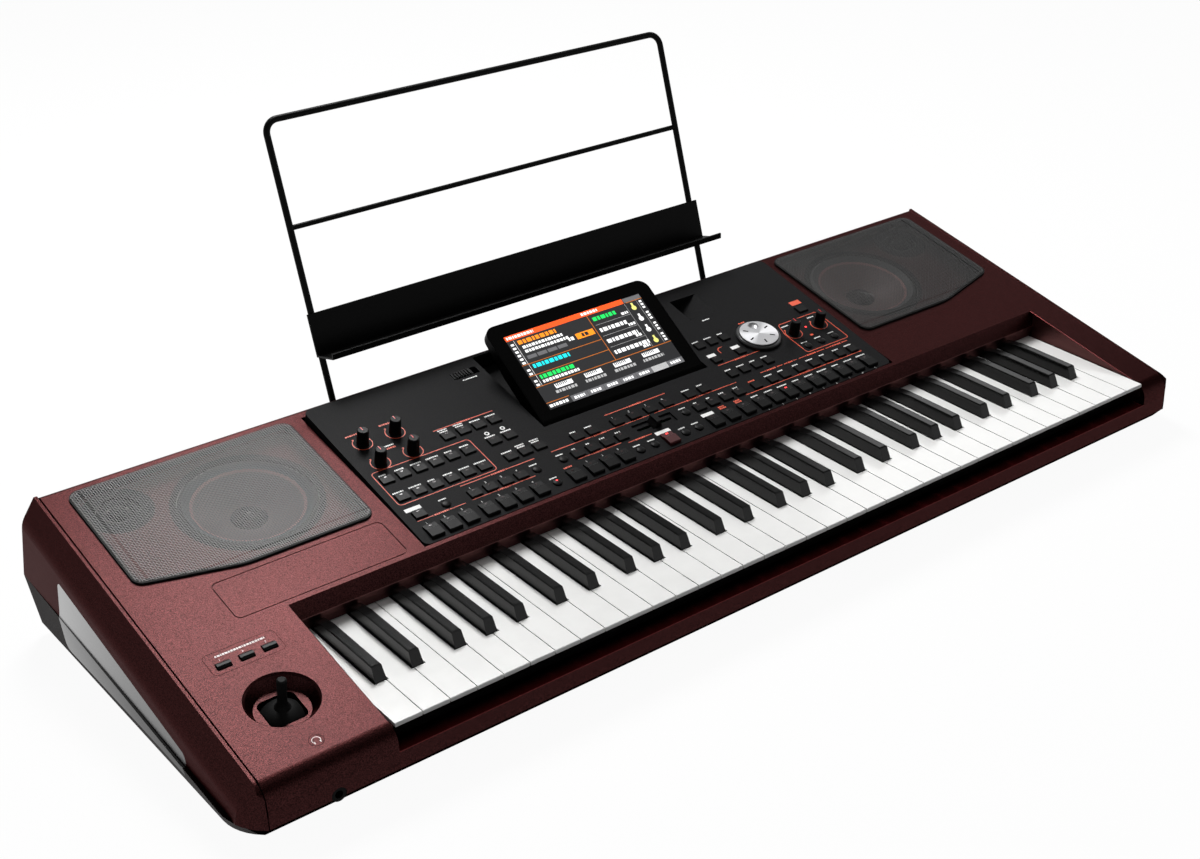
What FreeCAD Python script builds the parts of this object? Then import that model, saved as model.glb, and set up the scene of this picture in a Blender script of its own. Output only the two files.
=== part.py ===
import FreeCAD, Part
import math
import os

V = FreeCAD.Vector
os.makedirs("parts", exist_ok=True)

# All sizes are millimetres. x runs along the keys with its zero in the middle of the body,
# y runs from the key fronts to the back, z runs up from the floor.

# Keys
WHITE_NOTES = ["c", "d", "e", "f", "g", "a", "b"]
SHARP_AFTER = {"c": "c_sharp", "d": "d_sharp", "f": "f_sharp", "g": "g_sharp", "a": "a_sharp"}
SHARP_SHIFTS = {"c_sharp": -0.179, "d_sharp": 0.179, "f_sharp": -0.213, "g_sharp": 0.0, "a_sharp": 0.213}
WHITE_KEY_COUNT = 36
KEY_PITCH = 23.5
KEY_TOP = 58.5
KEY_LENGTH = 147.4
KEY_GAP = 0.9
KEY_PLATE = 3.3
KEY_EDGE = 0.6
KEY_UNDER_FALL = 12.6
KEY_STEM_FRONT = 18.0
KEY_STEM_SLANT = 6.0
KEY_STEM_DEPTH = 15.0
KEY_STEM_INSET = 0.8
KEY_TAIL = 8.0
KEY_TAIL_EDGE = 1.0
PIVOT_BEHIND = 47.6
PIVOT_DROP = 9.2
PIVOT_CLEARANCE = 0.25
GROOVE_HALF_ANGLE = 40.0
RIDGE_HALF_ANGLE = 25.0
KEY_DIP_ANGLE = 3.0
SHARP_LENGTH = 92.4
SHARP_BACK_GAP = 3.0
SHARP_WIDTH = 9.9
SHARP_TOP_WIDTH = 8.6
SHARP_EDGE = 0.9
SHARP_HEIGHT = 12.0
SHARP_FRONT_SLOPE = 5.0
SHARP_FALL = 32.4
SHARP_BACK_HEIGHT = 8.0
SHARP_ARCH = 0.3
SHARP_STEM_WIDTH = 7.0
SHARP_STEM_BEHIND = 10.0
SHARP_CLEARANCE = 1.2
FELT_WIDTH = 12.0
FELT_THICK = 2.4
FELT_CLEARANCE = 0.3
WHITE_FELT_BEHIND = 18.0
SHARP_FELT_BEHIND = 32.0

# Body
LEFT_BLOCK = 104.0
RIGHT_BLOCK = 32.7
KEY_SIDE_GAP = 0.75
CAP_WIDTH = 20.4
FRONT_OVERHANG = 4.5
FRONT_RADIUS = 15.0
FRONT_DRAFT = 2.5
WALL = 3.0
EDGE_BEVEL = 0.7
FALL_LEAN = 3.1
FALL_RISE = 27.0
FALL_CREASE_REACH = 1.8
FALL_CREASE_RISE = 12.0
FALL_FOOT_RISE = 1.0
DECK_ANGLE = 11.2
DECK_LENGTH = 216.1
BACK_LEAN = 9.5
BACK_EDGE_RADIUS = 4.0
PARTING_FRONT = 20.5
PARTING_BACK = 57.0
BASE_Z = 9.5
BASE_THICK = 3.0
BASE_SIDE_INSET = 5.0
BASE_FRONT_INSET = 10.2
BASE_BACK_INSET = 3.0
RAIL_TOP_DROP = 22.5
RAIL_REACH = 15.0
RAIL_FALL = 8.0
RAIL_THICK = 2.5
FOOT_RADIUS = 10.0
FOOT_SEAT = 1.5
FOOT_FIT = 0.3
FOOT_FROM_END = 50.0
FOOT_FROM_FRONT = 64.5
FOOT_FROM_BACK = 42.0

# End caps, seen along the deck slope: out from the seam and down from the deck
CAP_FLAT = 3.1
CAP_CHAMFER_OUT = 15.4
CAP_CHAMFER_DOWN = 20.0
CAP_SIDE_DOWN = 70.0
CAP_ROUND = 24.0
CAP_CORNER_LENGTH = 14.0
CAP_CORNER_ROUND = 44.0

# Side panels in the ends
INSERT_THICK = 1.5
INSERT_FROM_FRONT = 93.0
INSERT_FRONT_RISE = 8.8
INSERT_FRONT_ROUND = 8.0
INSERT_TOE_BACK = 5.5
INSERT_TOE_Z = 18.0
INSERT_HEEL_Z = 14.0
INSERT_HEEL_FROM_BACK = 59.0
INSERT_HEEL_ROUND = 6.0
INSERT_BACK_BEND = 10.5
INSERT_BACK_BEND_RISE = 5.0
INSERT_TOP_FROM_BACK = 70.5
INSERT_TOP_RISE = 24.5
INSERT_TOP_ROUND = 4.0

# Control panel, drawn flat: u along the keys, w up the slope from its front edge
PANEL_WIDTH = 526.0
PANEL_FRONT_GAP = 4.4
PANEL_BACK_GAP = 12.2
PANEL_SIDE_GAP = 1.5
PANEL_FRONT_PROUD = 0.3
PANEL_ANGLE = 13.2
PANEL_THICK = 3.0
PANEL_CORNER = 6.0
PANEL_FIT = 0.6
PANEL_SEAT_DEPTH = 6.0
PANEL_SKIRT = 45.0
PANEL_RAIL_DEPTH = 6.0
PANEL_RAIL_WIDTH = 6.0
PANEL_COLUMNS = 33
PANEL_ROWS = 8
BOARD_DEPTH = 8.6
BOARD_THICK = 1.6
BOARD_MARGIN = 8.0
BOARD_POST = 4.0
BOARD_TRAY_GAP = 2.0
BOARD_FRONT_GAP = 6.4
BOARD_KNOB_MARGIN = 13.0
BOARD_POCKET_GAP = 10.0

# Buttons on the panel: a gap is what a button leaves free of its column
SMALL_BUTTON_GAP = 4.4
SMALL_BUTTON_LENGTH = 9.5
NARROW_BUTTON_GAP = 5.9
NARROW_BUTTON_LENGTH = 9.0
BIG_BUTTON_GAP = 4.0
BIG_BUTTON_MARGIN = 3.85
BIG_BUTTON_STEP = 0.34
BIG_BUTTON_LOW = 1.5
BIG_BUTTON_HIGH = 2.9
BIG_BUTTON_EDGE = 0.8
ROUND_BUTTON_RADIUS = 4.0
ROUND_BUTTON_SHOULDER = 0.5
ROUND_BUTTON_STEPS = 4
BUTTON_PROUD = 1.8
BUTTON_DRAFT = 0.5
BUTTON_FIT = 0.3
BUTTON_TRAVEL = 1.0
BUTTON_STEM = 5.0
POWER_BUTTON_SHIFT = 1.2

# Knobs, value dial, fader and latch
KNOB_RADIUS = 5.4
KNOB_TOP_RADIUS = 4.9
KNOB_EDGE = 0.8
KNOB_HEIGHT = 14.5
KNOB_LIFT = 0.5
KNOB_SHAFT_RADIUS = 3.0
KNOB_SHAFT_FIT = 0.3
KNOB_NOTCH = 1.0
DIAL_COLUMNS = 1.41
DIAL_RIM = 3.2
DIAL_EDGE = 1.0
DIAL_PLATE_DRAFT = 0.4
DIAL_BASE_HEIGHT = 3.6
DIAL_PLATE_HEIGHT = 5.2
DIAL_DIMPLE_RADIUS = 5.2
DIAL_DIMPLE_ANGLE = 78.0
DIAL_DIMPLE_INSET = 6.7
DIAL_DIMPLE_DEPTH = 2.4
FADER_WELL = (44.0, 13.0)
FADER_WELL_DEPTH = 1.6
FADER_SLOT = (38.0, 3.4)
FADER_CAP = (9.0, 11.5)
FADER_CAP_HEIGHT = 8.0
FADER_WAIST = 0.45
FADER_WAIST_RISE = 0.6
FADER_CREST = 0.6
FADER_STEM = (3.0, 2.6)
LATCH_FROM_TRAY = 1.2
LATCH_FROM_BACK = 19.5
LATCH_WELL = (27.0, 9.4)
LATCH_CAP = (20.0, 8.4)
LATCH_PLATE = 0.6
LATCH_RIB_HEIGHT = 1.2
LATCH_RIBS = 6
USB_POCKET = (32.0, 34.0)
USB_FROM_BACK = 50.5
USB_DEPTH = 20.0

# Display
DISPLAY_COLUMNS = 11.54
DISPLAY_THICK = 14.0
DISPLAY_CORNER = 11.0
DISPLAY_BACK_MARGIN = 2.7
DISPLAY_PIVOT_DEPTH = 6.1
DISPLAY_REST_ANGLE = 33.3
DISPLAY_SIDE_GAP = 1.8
DISPLAY_FIT = 1.2
DISPLAY_PIN_RADIUS = 2.5
DISPLAY_PIN_FIT = 0.06
DISPLAY_PIN_LENGTH = 4.0
DISPLAY_UNDERCUT = 0.55
DISPLAY_GLASS_INSET = 1.0
DISPLAY_GLASS_THICK = 1.4
DISPLAY_GLASS_FIT = 0.2
TRAY_FLOOR_GAP = 3.4
TRAY_WALL = 4.0
TRAY_BACK_WALL = 1.5
TRAY_FLOOR = 2.0

# Joystick and the switches beside it, on the left deck
JOYSTICK_S = -86.0
WELL_RADIUS = 27.5
WELL_FLOOR_RADIUS = 21.0
WELL_DEPTH = 11.0
WELL_WALL = 2.0
WELL_RIM_SHARE = 2.5
BOOT_HOLE = 30.0
BOOT_SIZE = 27.0
BOOT_RADIUS = 20.0
BOOT_SHELL = 3.0
BOOT_RISE = 4.0
BOOT_SKIRT = 0.3
STICK_RADIUS = 3.7
STICK_COLLAR = 6.5
STICK_COLLAR_HEIGHT = 7.0
STICK_COLLAR_DROP = 1.3
STICK_COLLAR_STEPS = (0.25, 0.5, 0.75)
STICK_HEIGHT = 31.0
STICK_EDGE = 1.0
GIMBAL_OUTER = 20.0
GIMBAL_INNER = 12.0
GIMBAL_HEIGHT = 5.0
GIMBAL_PIN_RADIUS = 1.2
GIMBAL_PIN_FIT = 0.05
GIMBAL_PIN_GAP = 0.4
GIMBAL_POST = 3.0
GIMBAL_POST_DEPTH = 6.0
GIMBAL_POST_RISE = 3.0
STICK_BLOCK = 7.0
GIMBAL_BASE_DROP = 11.0
GIMBAL_BASE_DEPTH = 10.0
GIMBAL_LEG_REACH = 23.0
SWITCH_SIZE = (11.0, 6.6)
SWITCH_PITCH = 18.5
SWITCH_S = -33.0
SWITCH_PROUD = 2.0
SWITCH_ROUND = 0.4
SWITCH_TRAVEL = 1.0
SWITCH_STEM = 5.0
GROOVE_PLATE_FROM_SEAM = 64.0
GROOVE_PLATE_FROM_FRAME = 13.6
GROOVE_PLATE_LENGTH = 46.0
GROOVE_PLATE_S = 5.0
GROOVE_WIDTH = 0.9

# Speakers
GRILLE_FROM_FRAME = 14.2
GRILLE_FROM_END = 18.9
GRILLE_FROM_PLATE = 7.5
GRILLE_FROM_BACK = 12.1
GRILLE_CUT = 20.5
GRILLE_BEND_FROM_END = 79.5
GRILLE_BEND_ROUND = 6.0
GRILLE_CORNER = 9.0
GRILLE_THICK = 1.0
GRILLE_LIFT = 1.8
RIM_OUTSIDE = 1.2
RIM_INSIDE = 2.6
BAFFLE_DEPTH = 9.0
BAFFLE_THICK = 2.5
WOOFER_SIDE_MARGIN = 9.3
WOOFER_BACK_MARGIN = 5.0
WOOFER_FRONT_MARGIN = 16.5
WOOFER_RIM = 13.0
WOOFER_SURROUND = 8.0
WOOFER_ROLL = 3.0
WOOFER_DEPTH = 26.0
WOOFER_SHEET = 4.0
WOOFER_FLANGE = 2.0
WOOFER_CONE_THICK = 1.5
WOOFER_CONE_SHARE = 0.6
WOOFER_DUST_CAP_SHARE = 0.306
WOOFER_DUST_CAP_RISE = 7.0
WOOFER_CAP_EDGE_SHARE = 0.6
WOOFER_CAP_EDGE_RISE = 0.7
WOOFER_MAGNET_SHARE = 0.61
WOOFER_MAGNET_DEPTH = 10.0
TWEETER_SIDE_MARGIN = 8.2
TWEETER_BACK_MARGIN = 4.0
TWEETER_RADIUS = 22.0
TWEETER_CAN = 0.7
TWEETER_HOLE = 0.8
TWEETER_DOME = 10.0
TWEETER_DOME_RISE = 3.5
TWEETER_DISH = 3.0
TWEETER_FLANGE = 2.0
TWEETER_DEPTH = 14.0
SPEAKER_GAP = 9.0
SPEAKER_PLAY = 0.5

# Music stand
STAND_LEG_INSET = 49.1
STAND_ROD_RADIUS = 3.0
STAND_LEAN = 15.4
STAND_TOP_RISE = 298.0
STAND_CORNER = 12.0
STAND_FOOT_RISE = 4.0
STAND_FOOT_BEHIND = 1.0
STAND_CROSSBAR_SHARE = 0.695
STAND_CROSSBAR_RADIUS = 2.4
STAND_ROD_FIT = 0.06
STAND_SOCKET_RADIUS = 6.5
STAND_SOCKET_LENGTH = 26.0
SHELF_LOW = 95.0
SHELF_HEIGHT = 38.0
SHELF_LIP = 32.0
SHELF_BEAD = 5.0
SHELF_THICK = 1.8
SHELF_OVERHANG = 6.0

# Inside and behind
CHASSIS_THICK = 1.5
CHASSIS_FRONT = 20.0
CHASSIS_BEHIND = 11.0
CHASSIS_LIP = 5.0
CHASSIS_POST = 16.0
CHASSIS_POST_SHARES = (0.06, 0.35, 0.65, 0.94)
SCREW_HEAD_RADIUS = 4.0
SCREW_HEAD_HEIGHT = 2.2
SCREW_RADIUS = 1.7
SCREW_LENGTH = 12.0
SCREW_FIT = 0.3
SCREW_FROM_END = 90.0
SCREW_FROM_FRONT = 58.5
SCREW_FROM_BACK = 20.0
JACK_RADIUS = 6.0
JACK_BORE = 3.2
JACK_LENGTH = 18.0
JACK_BORE_SHARE = 0.8
JACK_Z = 34.0
JACK_FIRST_X = -150.0
JACK_PITCH = 28.0
JACK_COUNT = 6
MIDI_RADIUS = 8.0
MIDI_WALL = 1.5
MIDI_FIRST_X = 100.0
MIDI_COUNT = 2
REAR_USB_X = 165.0
REAR_USB = (14.0, 12.0)
REAR_USB_WALL = 1.5
INLET_X = 300.0
INLET_SIZE = (28.0, 20.0)
INLET_WALL = 3.0
INLET_PIN = (4.0, 2.0)
INLET_PIN_SPREAD = 6.0
INLET_PIN_LOW = -1.0
INLET_PIN_HIGH = 4.0
HEADPHONE_SHIFT = 2.0
HEADPHONE_DROP = 35.3
INSIDE_FRONT_GAP = 24.0
INSIDE_BACK_GAP = 27.0
MAIN_BOARD_X = -60.0
MAIN_BOARD_WIDTH = 240.0
AMPLIFIER_BOARD_X = 160.0
AMPLIFIER_BOARD_WIDTH = 120.0
BOARD_LEG = 6.0
BOARD_LEG_HEIGHT = 8.0
CHIP_SIZE = 28.0
CHIP_HEIGHT = 4.0
CHIP_SHARES = (-0.17, 0.17)
SUPPLY_SHIFT = 10.0
SUPPLY_WIDTH = 120.0
SUPPLY_MARGIN = 12.5
SUPPLY_HEIGHT = 28.0
SUPPLY_FIN = 6.0
SUPPLY_FIN_PITCH = 15.0
SUPPLY_FIN_HEIGHT = 4.0
SUPPLY_FIN_COUNT = 7

# Sizes worked out from the ones above
KEYS_SPAN = KEY_PITCH * WHITE_KEY_COUNT
BODY_HALF = (LEFT_BLOCK + RIGHT_BLOCK + KEYS_SPAN + 2 * KEY_SIDE_GAP) / 2
OPENING_LEFT = -BODY_HALF + LEFT_BLOCK
OPENING_RIGHT = BODY_HALF - RIGHT_BLOCK
KEYS_LEFT = OPENING_LEFT + KEY_SIDE_GAP
SHARP_BACK = KEY_LENGTH - SHARP_BACK_GAP
SHARP_FRONT = SHARP_BACK - SHARP_LENGTH
WHITE_FELT_Y = KEY_STEM_FRONT + WHITE_FELT_BEHIND
SHARP_FELT_Y = SHARP_FRONT + SHARP_FELT_BEHIND
PIVOT_Y = KEY_LENGTH + PIVOT_BEHIND
PIVOT_Z = KEY_TOP - PIVOT_DROP
CHASSIS_BACK = PIVOT_Y + CHASSIS_BEHIND
FRONT_Y = -FRONT_OVERHANG
FALL_Y = KEY_LENGTH + FALL_LEAN
FALL_Z = KEY_TOP + FALL_RISE
DECK_SLOPE = math.tan(math.radians(DECK_ANGLE))
DECK_BACK_Y = FALL_Y + DECK_LENGTH * math.cos(math.radians(DECK_ANGLE))
BACK_Y = DECK_BACK_Y + BACK_LEAN
PANEL_Y = FALL_Y + PANEL_FRONT_GAP
PANEL_LENGTH = DECK_LENGTH - PANEL_FRONT_GAP - PANEL_BACK_GAP
FRAME_SEAM = PANEL_WIDTH / 2 + PANEL_SIDE_GAP
COLUMN = PANEL_WIDTH / PANEL_COLUMNS
ROW = PANEL_LENGTH / PANEL_ROWS
ROW_A = 0.48 * ROW
ROW_B = 1.40 * ROW
ROW_C = 2.41 * ROW
ROW_D = 3.41 * ROW
ROW_E = 4.41 * ROW
ROW_CENTRE = 2.18 * ROW
ROW_MIC = 3.35 * ROW
ROW_KNOBS_LOW = 4.31 * ROW
ROW_KNOBS_HIGH = 5.49 * ROW
SMALL_BUTTON = (COLUMN - SMALL_BUTTON_GAP, SMALL_BUTTON_LENGTH)
NARROW_BUTTON = (COLUMN - NARROW_BUTTON_GAP, NARROW_BUTTON_LENGTH)
BIG_BUTTON = (COLUMN - BIG_BUTTON_GAP, 2 * (ROW_A - BIG_BUTTON_MARGIN))
DIAL_RADIUS = DIAL_COLUMNS * COLUMN
DIAL_PLATE_RADIUS = DIAL_RADIUS - DIAL_RIM
DIAL_CENTRE = (10.73 * COLUMN, 3.81 * ROW)
FADER_CENTRE = (-0.075 * COLUMN, 1.48 * ROW)
DISPLAY_CENTRE = 0.125 * COLUMN
DISPLAY_WIDTH = DISPLAY_COLUMNS * COLUMN
DISPLAY_PIVOT_W = 3.553 * ROW
DISPLAY_LENGTH = PANEL_LENGTH - DISPLAY_PIVOT_W + DISPLAY_THICK / 2 - DISPLAY_FIT - DISPLAY_BACK_MARGIN
TRAY_DEPTH = DISPLAY_PIVOT_DEPTH + DISPLAY_THICK / 2 + TRAY_FLOOR_GAP
TRAY_FRONT = DISPLAY_PIVOT_W - DISPLAY_THICK / 2 - DISPLAY_FIT
TRAY_HALF = DISPLAY_WIDTH / 2 + DISPLAY_SIDE_GAP
LATCH_CENTRE = (DISPLAY_CENTRE - TRAY_HALF - TRAY_WALL - LATCH_FROM_TRAY - LATCH_WELL[0] / 2,
                PANEL_LENGTH - LATCH_FROM_BACK)
USB_CORNER = (8.09 * COLUMN, PANEL_LENGTH - USB_FROM_BACK)
GROOVE_PLATE_WIDTH = BODY_HALF - GROOVE_PLATE_FROM_SEAM - FRAME_SEAM - GROOVE_PLATE_FROM_FRAME
GRILLE_INNER = FRAME_SEAM + GRILLE_FROM_FRAME
GRILLE_OUTER = BODY_HALF - GRILLE_FROM_END
GRILLE_WIDTH = GRILLE_OUTER - GRILLE_INNER
GRILLE_FRONT_S = GROOVE_PLATE_S + GROOVE_PLATE_LENGTH + GRILLE_FROM_PLATE
GRILLE_BACK_S = DECK_LENGTH - GRILLE_FROM_BACK
WOOFER_ROOM_ACROSS = (GRILLE_WIDTH - WOOFER_SIDE_MARGIN - SPEAKER_GAP
                      - 2 * TWEETER_RADIUS - TWEETER_SIDE_MARGIN)
WOOFER_ROOM_ALONG = GRILLE_BACK_S - GRILLE_FRONT_S - WOOFER_BACK_MARGIN - WOOFER_FRONT_MARGIN
WOOFER_RADIUS = min(WOOFER_ROOM_ACROSS, WOOFER_ROOM_ALONG) / 2
WOOFER_X = GRILLE_INNER + WOOFER_SIDE_MARGIN + WOOFER_RADIUS
WOOFER_S = GRILLE_BACK_S - WOOFER_BACK_MARGIN - WOOFER_RADIUS
WOOFER_CONE_RADIUS = WOOFER_RADIUS - WOOFER_RIM
WOOFER_MAGNET_RADIUS = WOOFER_MAGNET_SHARE * WOOFER_CONE_RADIUS
WOOFER_DUST_CAP = WOOFER_DUST_CAP_SHARE * WOOFER_CONE_RADIUS
WOOFER_CONE_DROP = WOOFER_DEPTH * WOOFER_CONE_SHARE
WOOFER_CONE_SLOPE = (WOOFER_CONE_RADIUS - WOOFER_DUST_CAP) / WOOFER_CONE_DROP
WOOFER_CONE_BEHIND = WOOFER_CONE_RADIUS - WOOFER_CONE_SLOPE * (WOOFER_SHEET - WOOFER_CONE_THICK)
WOOFER_BASKET_INNER = max(WOOFER_CONE_RADIUS - WOOFER_SHEET, WOOFER_CONE_BEHIND + SPEAKER_PLAY)
TWEETER_X = GRILLE_OUTER - TWEETER_SIDE_MARGIN - TWEETER_RADIUS
TWEETER_S = GRILLE_BACK_S - TWEETER_BACK_MARGIN - TWEETER_RADIUS
STAND_LEG_SPACING = 2 * (FRAME_SEAM - STAND_LEG_INSET)
STAND_CROSSBAR = STAND_CROSSBAR_SHARE * STAND_TOP_RISE
STAND_SLOPE = math.tan(math.radians(STAND_LEAN))
STAND_FOOT_Y = BACK_Y + STAND_FOOT_BEHIND
STAND_FOOT_Z = KEY_TOP + STAND_FOOT_RISE
STAND_TOP_Y = STAND_FOOT_Y + (STAND_TOP_RISE - STAND_FOOT_RISE) * STAND_SLOPE
FAR_BACK = STAND_TOP_Y + STAND_ROD_RADIUS / math.cos(math.radians(STAND_LEAN))
INSIDE_FRONT = CHASSIS_BACK + INSIDE_FRONT_GAP
INSIDE_BACK = BACK_Y - INSIDE_BACK_GAP
INSIDE_DEPTH = INSIDE_BACK - INSIDE_FRONT
INSIDE_MIDDLE = (INSIDE_FRONT + INSIDE_BACK) / 2
Y_CENTRE = (FRONT_Y + FAR_BACK) / 2
FAR = 900.0


def deck_z(y):
    """Height of the sloping deck at a distance y from the key fronts."""
    return FALL_Z + (y - FALL_Y) * DECK_SLOPE


def parting_z(y):
    """Height of the line where the upper and lower cases meet."""
    return PARTING_FRONT + (PARTING_BACK - PARTING_FRONT) * (y - FRONT_Y) / (BACK_Y - FRONT_Y)


# Outlines

def across(a, b):
    """Place a side-view point (y, z)."""
    return V(0, a, b)


def flat(a, b):
    """Place a plan point (x, y)."""
    return V(a, b, 0)


def upright(a, b):
    """Place a front-view point (x, z)."""
    return V(a, 0, b)


def corner_points(before, corner, after, radius):
    """Start, middle and end of the arc that rounds one corner of an outline."""
    to_before = (before - corner).normalize()
    to_after = (after - corner).normalize()
    half = to_before.getAngle(to_after) / 2
    middle_way = (to_before + to_after).normalize()
    reach = radius / math.tan(half)
    centre_gap = radius / math.sin(half)
    start = corner + to_before * reach
    middle = corner + middle_way * (centre_gap - radius)
    end = corner + to_after * reach
    return start, middle, end


def outline(points, place, radii=None):
    """A closed face through the points, with a rounded corner where radii gives one."""
    corners = [place(a, b) for a, b in points]
    count = len(corners)
    radii = radii or {}
    edges = []
    ends = []
    for index, corner in enumerate(corners):
        radius = radii.get(index, 0)
        if radius:
            after = corners[(index + 1) % count]
            start, middle, end = corner_points(corners[index - 1], corner, after, radius)
            edges.append(Part.Arc(start, middle, end).toShape())
            ends.append((start, end))
        else:
            ends.append((corner, corner))
    for index in range(count):
        leaving = ends[index][1]
        arriving = ends[(index + 1) % count][0]
        if leaving.distanceToPoint(arriving) > 1e-6:
            edges.append(Part.makeLine(leaving, arriving))
    return Part.Face(Part.Wire(Part.__sortEdges__(edges)))


def thicken(points, thickness):
    """A closed strip of even thickness on the right-hand side of an open line of points."""
    line = [V(a, b, 0) for a, b in points]
    shifted = []
    for index, point in enumerate(line):
        normals = []
        for start, end in ((index - 1, index), (index, index + 1)):
            if start >= 0 and end < len(line):
                along = (line[end] - line[start]).normalize()
                normals.append(V(along.y, -along.x, 0))
        mean = sum(normals[1:], normals[0]).normalize()
        shifted.append(point + mean * (thickness / mean.dot(normals[0])))
    return points + [(p.x, p.y) for p in reversed(shifted)]


def side_prism(points, x_low, x_high, radii=None):
    """A side-view outline carried along x."""
    face = outline(points, across, radii)
    face.translate(V(x_low, 0, 0))
    return face.extrude(V(x_high - x_low, 0, 0))


def front_prism(points, y_low, y_high, radii=None):
    """A front-view outline carried along y."""
    face = outline(points, upright, radii)
    face.translate(V(0, y_low, 0))
    return face.extrude(V(0, y_high - y_low, 0))


def plan_prism(points, z_low, z_high, radii=None):
    """A plan outline carried upward."""
    face = outline(points, flat, radii)
    face.translate(V(0, 0, z_low))
    return face.extrude(V(0, 0, z_high - z_low))


def rectangle(centre, size):
    """The corners of a rectangle, counter-clockwise."""
    half_a = size[0] / 2
    half_b = size[1] / 2
    a, b = centre
    return [(a - half_a, b - half_b), (a + half_a, b - half_b),
            (a + half_a, b + half_b), (a - half_a, b + half_b)]


def rounded_prism(centre, size, radius, z_low, z_high):
    """A rectangle with four rounded corners carried upward."""
    return plan_prism(rectangle(centre, size), z_low, z_high, {index: radius for index in range(4)})


def block(centre, size, z_low, z_high):
    """A plain rectangular block standing on a plan rectangle."""
    return plan_prism(rectangle(centre, size), z_low, z_high)


def disc(centre, radius, z_low, z_high):
    """An upright cylinder."""
    return Part.makeCylinder(radius, z_high - z_low, V(centre[0], centre[1], z_low))


def turned(points, centre=(0, 0)):
    """A profile of (radius, height) points turned about an upright axis."""
    face = Part.Face(Part.makePolygon([V(r, 0, z) for r, z in points + points[:1]]))
    solid = face.revolve(V(0, 0, 0), V(0, 0, 1), 360)
    solid.translate(V(centre[0], centre[1], 0))
    return solid


def joined(shapes):
    """One solid out of several that touch or overlap."""
    return shapes[0].fuse(shapes[1:]).removeSplitter()


def mirrored(shape):
    """The same piece on the other side of the body."""
    return shape.mirror(V(0, 0, 0), V(1, 0, 0))


# Sloping frames

def sloped(shape, angle, y, z):
    """Lay a piece drawn flat onto a slope whose front line is at y and z."""
    laid = shape.copy()
    laid.rotate(V(0, 0, 0), V(1, 0, 0), angle)
    laid.translate(V(0, y, z))
    return laid


def on_deck(shape):
    """Lay a piece drawn flat onto the red deck; its y zero is the top of the fall board."""
    return sloped(shape, DECK_ANGLE, FALL_Y, FALL_Z)


def on_panel(shape):
    """Lay a piece drawn flat onto the control panel; its y zero is the panel's front edge."""
    return sloped(shape, PANEL_ANGLE, PANEL_Y, deck_z(PANEL_Y) + PANEL_FRONT_PROUD)


def save(name, solids):
    """Write one node, moved so that the origin is under the middle of the whole object."""
    shape = Part.makeCompound(solids) if len(solids) > 1 else solids[0]
    shape = shape.copy()
    shape.translate(V(0, -Y_CENTRE, 0))
    shape.exportStep("parts/" + name + ".step")


# Upper case

def below_parting():
    """Everything under the line where the two cases meet."""
    y_low = FRONT_Y - FAR
    y_high = BACK_Y + FAR
    points = [(y_low, -FAR), (y_high, -FAR), (y_high, parting_z(y_high)), (y_low, parting_z(y_low))]
    return side_prism(points, -FAR, FAR)


def block_line():
    """Side view of the outer skin through the blocks at the ends of the keys, front to back."""
    return [(FRONT_Y + FRONT_DRAFT, 0), (FRONT_Y, KEY_TOP - RAIL_TOP_DROP), (FRONT_Y, deck_z(FRONT_Y)),
            (DECK_BACK_Y, deck_z(DECK_BACK_Y)), (BACK_Y, PARTING_BACK), (BACK_Y, 0)]


def rear_line():
    """Side view of the outer skin behind the keys: fall board, deck and back."""
    return [(KEY_LENGTH, KEY_TOP + FALL_FOOT_RISE),
            (KEY_LENGTH - FALL_CREASE_REACH, KEY_TOP + FALL_CREASE_RISE),
            (FALL_Y, FALL_Z), (DECK_BACK_Y, deck_z(DECK_BACK_Y)), (BACK_Y, PARTING_BACK), (BACK_Y, 0)]


def block_skin(x_low, x_high):
    """The skin over one end block, rounded over its front edge."""
    last = 2 * len(block_line()) - 1
    radii = {2: FRONT_RADIUS, 3: BACK_EDGE_RADIUS, last - 2: FRONT_RADIUS - WALL}
    return side_prism(thicken(block_line(), WALL), x_low, x_high, radii)


def rear_skin(x_low, x_high):
    """The skin behind the keys."""
    return side_prism(thicken(rear_line(), WALL), x_low, x_high, {3: BACK_EDGE_RADIUS})


def key_side_wall(x_low, x_high):
    """The wall that closes an end block beside the keys."""
    points = block_line()[:3] + [(FALL_Y, FALL_Z), (FALL_Y, 0)]
    return side_prism(points, x_low, x_high, {2: FRONT_RADIUS})


def edge_bevel(x, side, s_high):
    """What is planed off a deck edge at x, up to s_high; side is the way out of the piece."""
    reach = 2 * EDGE_BEVEL
    points = [(x - side * reach, EDGE_BEVEL), (x + side * EDGE_BEVEL, EDGE_BEVEL),
              (x + side * EDGE_BEVEL, -reach)]
    return on_deck(front_prism(points, -FAR, s_high))


def grille_points(grow):
    """Plan of one speaker grille on the left deck, grown outward by an even amount."""
    outer = -GRILLE_OUTER - grow
    inner = -GRILLE_INNER + grow
    front = GRILLE_FRONT_S - grow
    back = GRILLE_BACK_S + grow
    return [(outer, front + GRILLE_CUT), (-GRILLE_OUTER + GRILLE_BEND_FROM_END, front), (inner, front),
            (inner, back), (outer, back)]


def grille_prism(grow, low, high):
    """A slab with the grille's outline on the left deck."""
    radius = GRILLE_CORNER + grow
    radii = {index: radius for index in range(5)}
    radii[1] = GRILLE_BEND_ROUND * radius
    return plan_prism(grille_points(grow), low, high, radii)


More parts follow.
